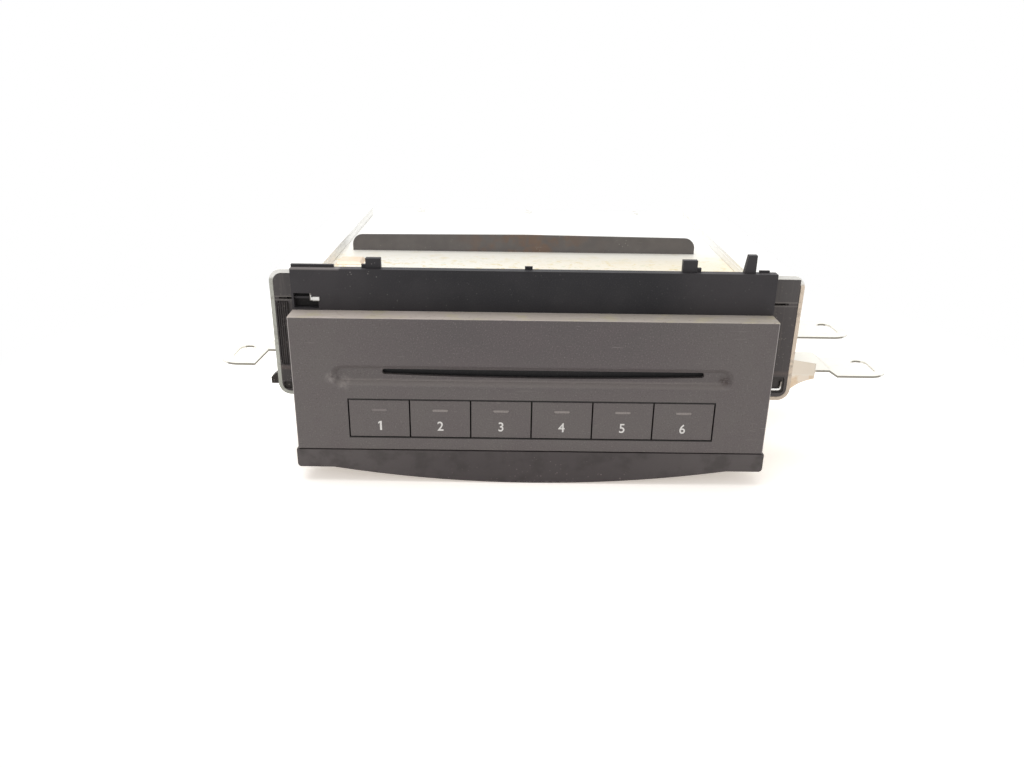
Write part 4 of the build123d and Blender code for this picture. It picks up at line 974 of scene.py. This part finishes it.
# %% Boxes on points
def box_tree(name, sizes, boxes, material):
    """A tree that puts boxes on every point. Each box names its sizes along X, Y and Z."""
    tree = bpy.data.node_groups.new(name, "GeometryNodeTree")
    identifiers = {}
    tree.interface.new_socket("Geometry", in_out="INPUT", socket_type="NodeSocketGeometry")
    for size, default in {**sizes, "Tilt": 0.0, "Turn": 0.0}.items():
        socket = tree.interface.new_socket(size, in_out="INPUT", socket_type="NodeSocketFloat")
        socket.default_value = default
        identifiers[size] = socket.identifier
    tree.interface.new_socket("Geometry", in_out="OUTPUT", socket_type="NodeSocketGeometry")
    group_in = tree.nodes.new("NodeGroupInput")
    group_out = tree.nodes.new("NodeGroupOutput")
    join = tree.nodes.new("GeometryNodeJoinGeometry")
    for box in boxes:
        size = tree.nodes.new("ShaderNodeCombineXYZ")
        for axis, source in zip("XYZ", box):
            tree.links.new(group_in.outputs[source], size.inputs[axis])
        cube = tree.nodes.new("GeometryNodeMeshCube")
        tree.links.new(size.outputs[0], cube.inputs["Size"])
        tree.links.new(cube.outputs["Mesh"], join.inputs[0])
    turn = tree.nodes.new("ShaderNodeCombineXYZ")
    tree.links.new(group_in.outputs["Tilt"], turn.inputs["Y"])
    tree.links.new(group_in.outputs["Turn"], turn.inputs["Z"])
    place = tree.nodes.new("GeometryNodeInstanceOnPoints")
    tree.links.new(group_in.outputs["Geometry"], place.inputs["Points"])
    tree.links.new(join.outputs[0], place.inputs["Instance"])
    tree.links.new(turn.outputs[0], place.inputs["Rotation"])
    realize = tree.nodes.new("GeometryNodeRealizeInstances")
    tree.links.new(place.outputs[0], realize.inputs[0])
    finish = tree.nodes.new("GeometryNodeSetMaterial")
    finish.inputs["Material"].default_value = material
    tree.links.new(realize.outputs[0], finish.inputs[0])
    tree.links.new(finish.outputs[0], group_out.inputs[0])
    return tree, identifiers


def boxes_on(name, points, tree, identifiers, values):
    """Runs a tree on a cloud of points and returns the result as a plain mesh."""
    def add_tree(holder):
        modifier = holder.modifiers.new("tree", "NODES")
        modifier.node_group = tree
        for size, value in values.items():
            modifier[identifiers[size]] = value

    cloud = bpy.data.meshes.new(f"{name}_points")
    cloud.from_pydata(points, [], [])
    return evaluated_mesh(name, cloud, add_tree)


# %% Cross recesses
CROSS_TURN = 0.6
SCREWS_LOW, SCREWS_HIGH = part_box("housing_screws")
SIDE_SCREW_Y, SIDE_SCREW_Z = (-55 * MM, 0.0, 55 * MM), 5.4 * MM
TOP_SCREW_X, TOP_SCREW_Y = (-60 * MM, 0.0, 60 * MM), SCREWS_HIGH.y - 2.6 * MM
BRACKET_LOW, BRACKET_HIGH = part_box("bracket_screws")
BRACKET_SCREW_Y = (-20 * MM, 40 * MM)
BRACKET_SCREW_Z = (BRACKET_LOW.z + BRACKET_HIGH.z) / 2

# the crosses are dark on the side screws as painted shade inside the recess, and pale on top as painted
# light from above
recess_shade_black = soft_plastic("recess_shade_black", screen(48, 46, 44), 0.6)
recess_lit_pale = soft_plastic("recess_lit_pale", screen(214, 211, 202), 0.5)
side_heads = [(x, y, SIDE_SCREW_Z) for x in (SCREWS_LOW.x, SCREWS_HIGH.x) for y in SIDE_SCREW_Y]
side_heads += [(x, y, BRACKET_SCREW_Z) for x in (BRACKET_LOW.x,
                                                 BRACKET_HIGH.x) for y in BRACKET_SCREW_Y]
top_heads = [(x, TOP_SCREW_Y, SCREWS_HIGH.z) for x in TOP_SCREW_X]

cross, cross_inputs = box_tree("cross recess", {"Length": 2.6 * MM, "Width": 0.55 * MM,
                                                "Depth": 0.1 * MM},
                               (("Length", "Width", "Depth"), ("Width", "Length", "Depth")),
                               recess_shade_black)
for name, heads, tilt, shade in (("side_recesses", side_heads, math.pi / 2, recess_shade_black),
                                 ("top_recesses", top_heads, 0.0, recess_lit_pale)):
    crosses = boxes_on(name, heads, cross, cross_inputs, {"Tilt": tilt, "Turn": CROSS_TURN})
    add_mesh(name, crosses, shade, "housing")
    print(name, len(heads), "screws,", len(crosses.polygons), "faces")

# %% [markdown]
# Each guide block has a moulded face: a groove across its upper part, and slots or a pocket below.
# The block itself is in the mechanical model, so the face is a thin plate in front of it, cut
# through where those are. It's drawn as a flat curve with holes, which Blender fills and
# thickens, and then made a mesh and stood upright.

# %% Faces of the guide blocks
BLOCK_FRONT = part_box("guide_block_left")[0].y
FACE_THICKNESS, FACE_SOFTNESS = 0.7 * MM, 0.12 * MM
CORNER_STEPS = 6
SHARP_RADIUS = 0.3


def rounded(x0, x1, z0, z1, radius, sharp=()):
    """A rectangle with round corners, given in millimetres; corners listed in sharp stay small."""
    loop = []
    corners = ((x1, z0, -90), (x1, z1, 0), (x0, z1, 90), (x0, z0, 180))
    for index, (corner_x, corner_z, start) in enumerate(corners):
        turn = SHARP_RADIUS if index in sharp else radius
        centre_x = corner_x - turn if corner_x == x1 else corner_x + turn
        centre_z = corner_z - turn if corner_z == z1 else corner_z + turn
        for step in range(CORNER_STEPS + 1):
            angle = math.radians(start + 90 / CORNER_STEPS * step)
            loop.append(((centre_x + turn * math.cos(angle)) * MM,
                         (centre_z + turn * math.sin(angle)) * MM))
    return loop


UPPER_RIGHT = 1
BLOCK_FACES = {
    "left": {"outline": rounded(-102.7, -94.2, 33.0, 82.6, 3.0),
             "groove": rounded(-100.8, -94.8, 72.3, 73.15, 0.4),
             "long slot": rounded(-102.1, -97.0, 44.4, 71.5, 1.3),
             "short slot": rounded(-102.0, -98.6, 33.8, 37.0, 0.8)},
    "right": {"outline": rounded(94.2, 105.5, 33.0, 82.75, 3.0, sharp=(UPPER_RIGHT,)),
              "groove": rounded(94.8, 101.8, 72.2, 73.1, 0.4),
              "pocket": rounded(94.9, 104.4, 34.7, 41.6, 0.9)}}
for side, loops in BLOCK_FACES.items():
    face = flat_mesh(f"block_face_{side}", loops.values(), FACE_THICKNESS, BLOCK_FRONT - FACE_THICKNESS,
                     FACE_SOFTNESS)
    add_mesh(f"block_face_{side}", face, block_black, "housing")
    print("face of the", side, "block:", len(face.polygons), "faces")

# %% [markdown]
# Thin upright ribs stand in the left block's long slot. They repeat at an even pitch, so a second
# tree of the same kind makes them: it takes a line of points along the slot and stands a thin
# bar on each.

# %% Ribs in the slot
RIB_COUNT, RIB_PITCH, FIRST_RIB = 5, 0.85 * MM, -101.6 * MM
RIB_Y, RIB_Z = BLOCK_FRONT - 0.2 * MM, 57.95 * MM

rib_tree, rib_inputs = box_tree("mould ribs", {"Width": 0.34 * MM, "Height": 26.6 * MM,
                                               "Depth": 0.45 * MM},
                                (("Width", "Depth", "Height"),), block_black)
rib_line = [(FIRST_RIB + i * RIB_PITCH, RIB_Y, RIB_Z) for i in range(RIB_COUNT)]
add_mesh("slot_ribs", boxes_on("slot_ribs", rib_line, rib_tree, rib_inputs, {}), block_black, "housing")
print("ribs in the slot:", RIB_COUNT)

# %% [markdown]
# The top flange of each bracket closes on the cover with a folded lip, so no dark gap shows along
# it. The lip's section is an L, swept along the flange in bmesh.

# %% Flange lips
COVER_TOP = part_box("top_hook_plate")[0].z
FLANGE_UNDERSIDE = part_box("guide_block_left")[1].z
LIP_SHEET, LIP_FOOT, LIP_TURN = 0.8 * MM, 3.0 * MM, 0.35 * MM


def lip_profile():
    """The lip's L, as distances outwards from the flange's inner edge and heights."""
    low, high = COVER_TOP, FLANGE_UNDERSIDE
    bend = 0.3 * LIP_TURN
    return ((0.0, high), (0.0, low + LIP_TURN), (bend, low + bend), (LIP_TURN, low), (LIP_FOOT, low),
            (LIP_FOOT, low + LIP_SHEET), (LIP_SHEET, low + LIP_SHEET), (LIP_SHEET, high))


for side, outwards in (("left", -1), ("right", 1)):
    low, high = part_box(f"bracket_{side}")
    inner = high.x if side == "left" else low.x
    ends = [[(inner + outwards * x, y, z) for x, z in lip_profile()] for y in (low.y, high.y)]
    add_mesh(f"flange_lip_{side}", skin_mesh(f"flange_lip_{side}", ends), white_sheet, "housing")
print("lips", round((FLANGE_UNDERSIDE - COVER_TOP) * 1000, 1), "mm high")

# %% [markdown]
# A black pad behind the notch is painted shade: it stands in for the shade inside the notch, so the
# small clip shows bright against it.

# %% Notch pad, painted shade
NOTCH = rounded(-93.75, -84.4, 70.85, 76.65, 0.4)
NOTCH_PAD_Y, NOTCH_PAD_THICKNESS, NOTCH_PAD_SOFTNESS = -80.9 * MM, 0.5 * MM, 0.08 * MM

notch_shade_pad = flat_mesh("notch_shade_pad", [NOTCH], NOTCH_PAD_THICKNESS, NOTCH_PAD_Y, NOTCH_PAD_SOFTNESS)
shade_pad_black = plain_black("shade_pad_black", screen(26, 24, 24))
add_mesh("notch_shade_pad", notch_shade_pad, shade_pad_black, "housing")
print("notch pad:", len(notch_shade_pad.polygons), "faces")
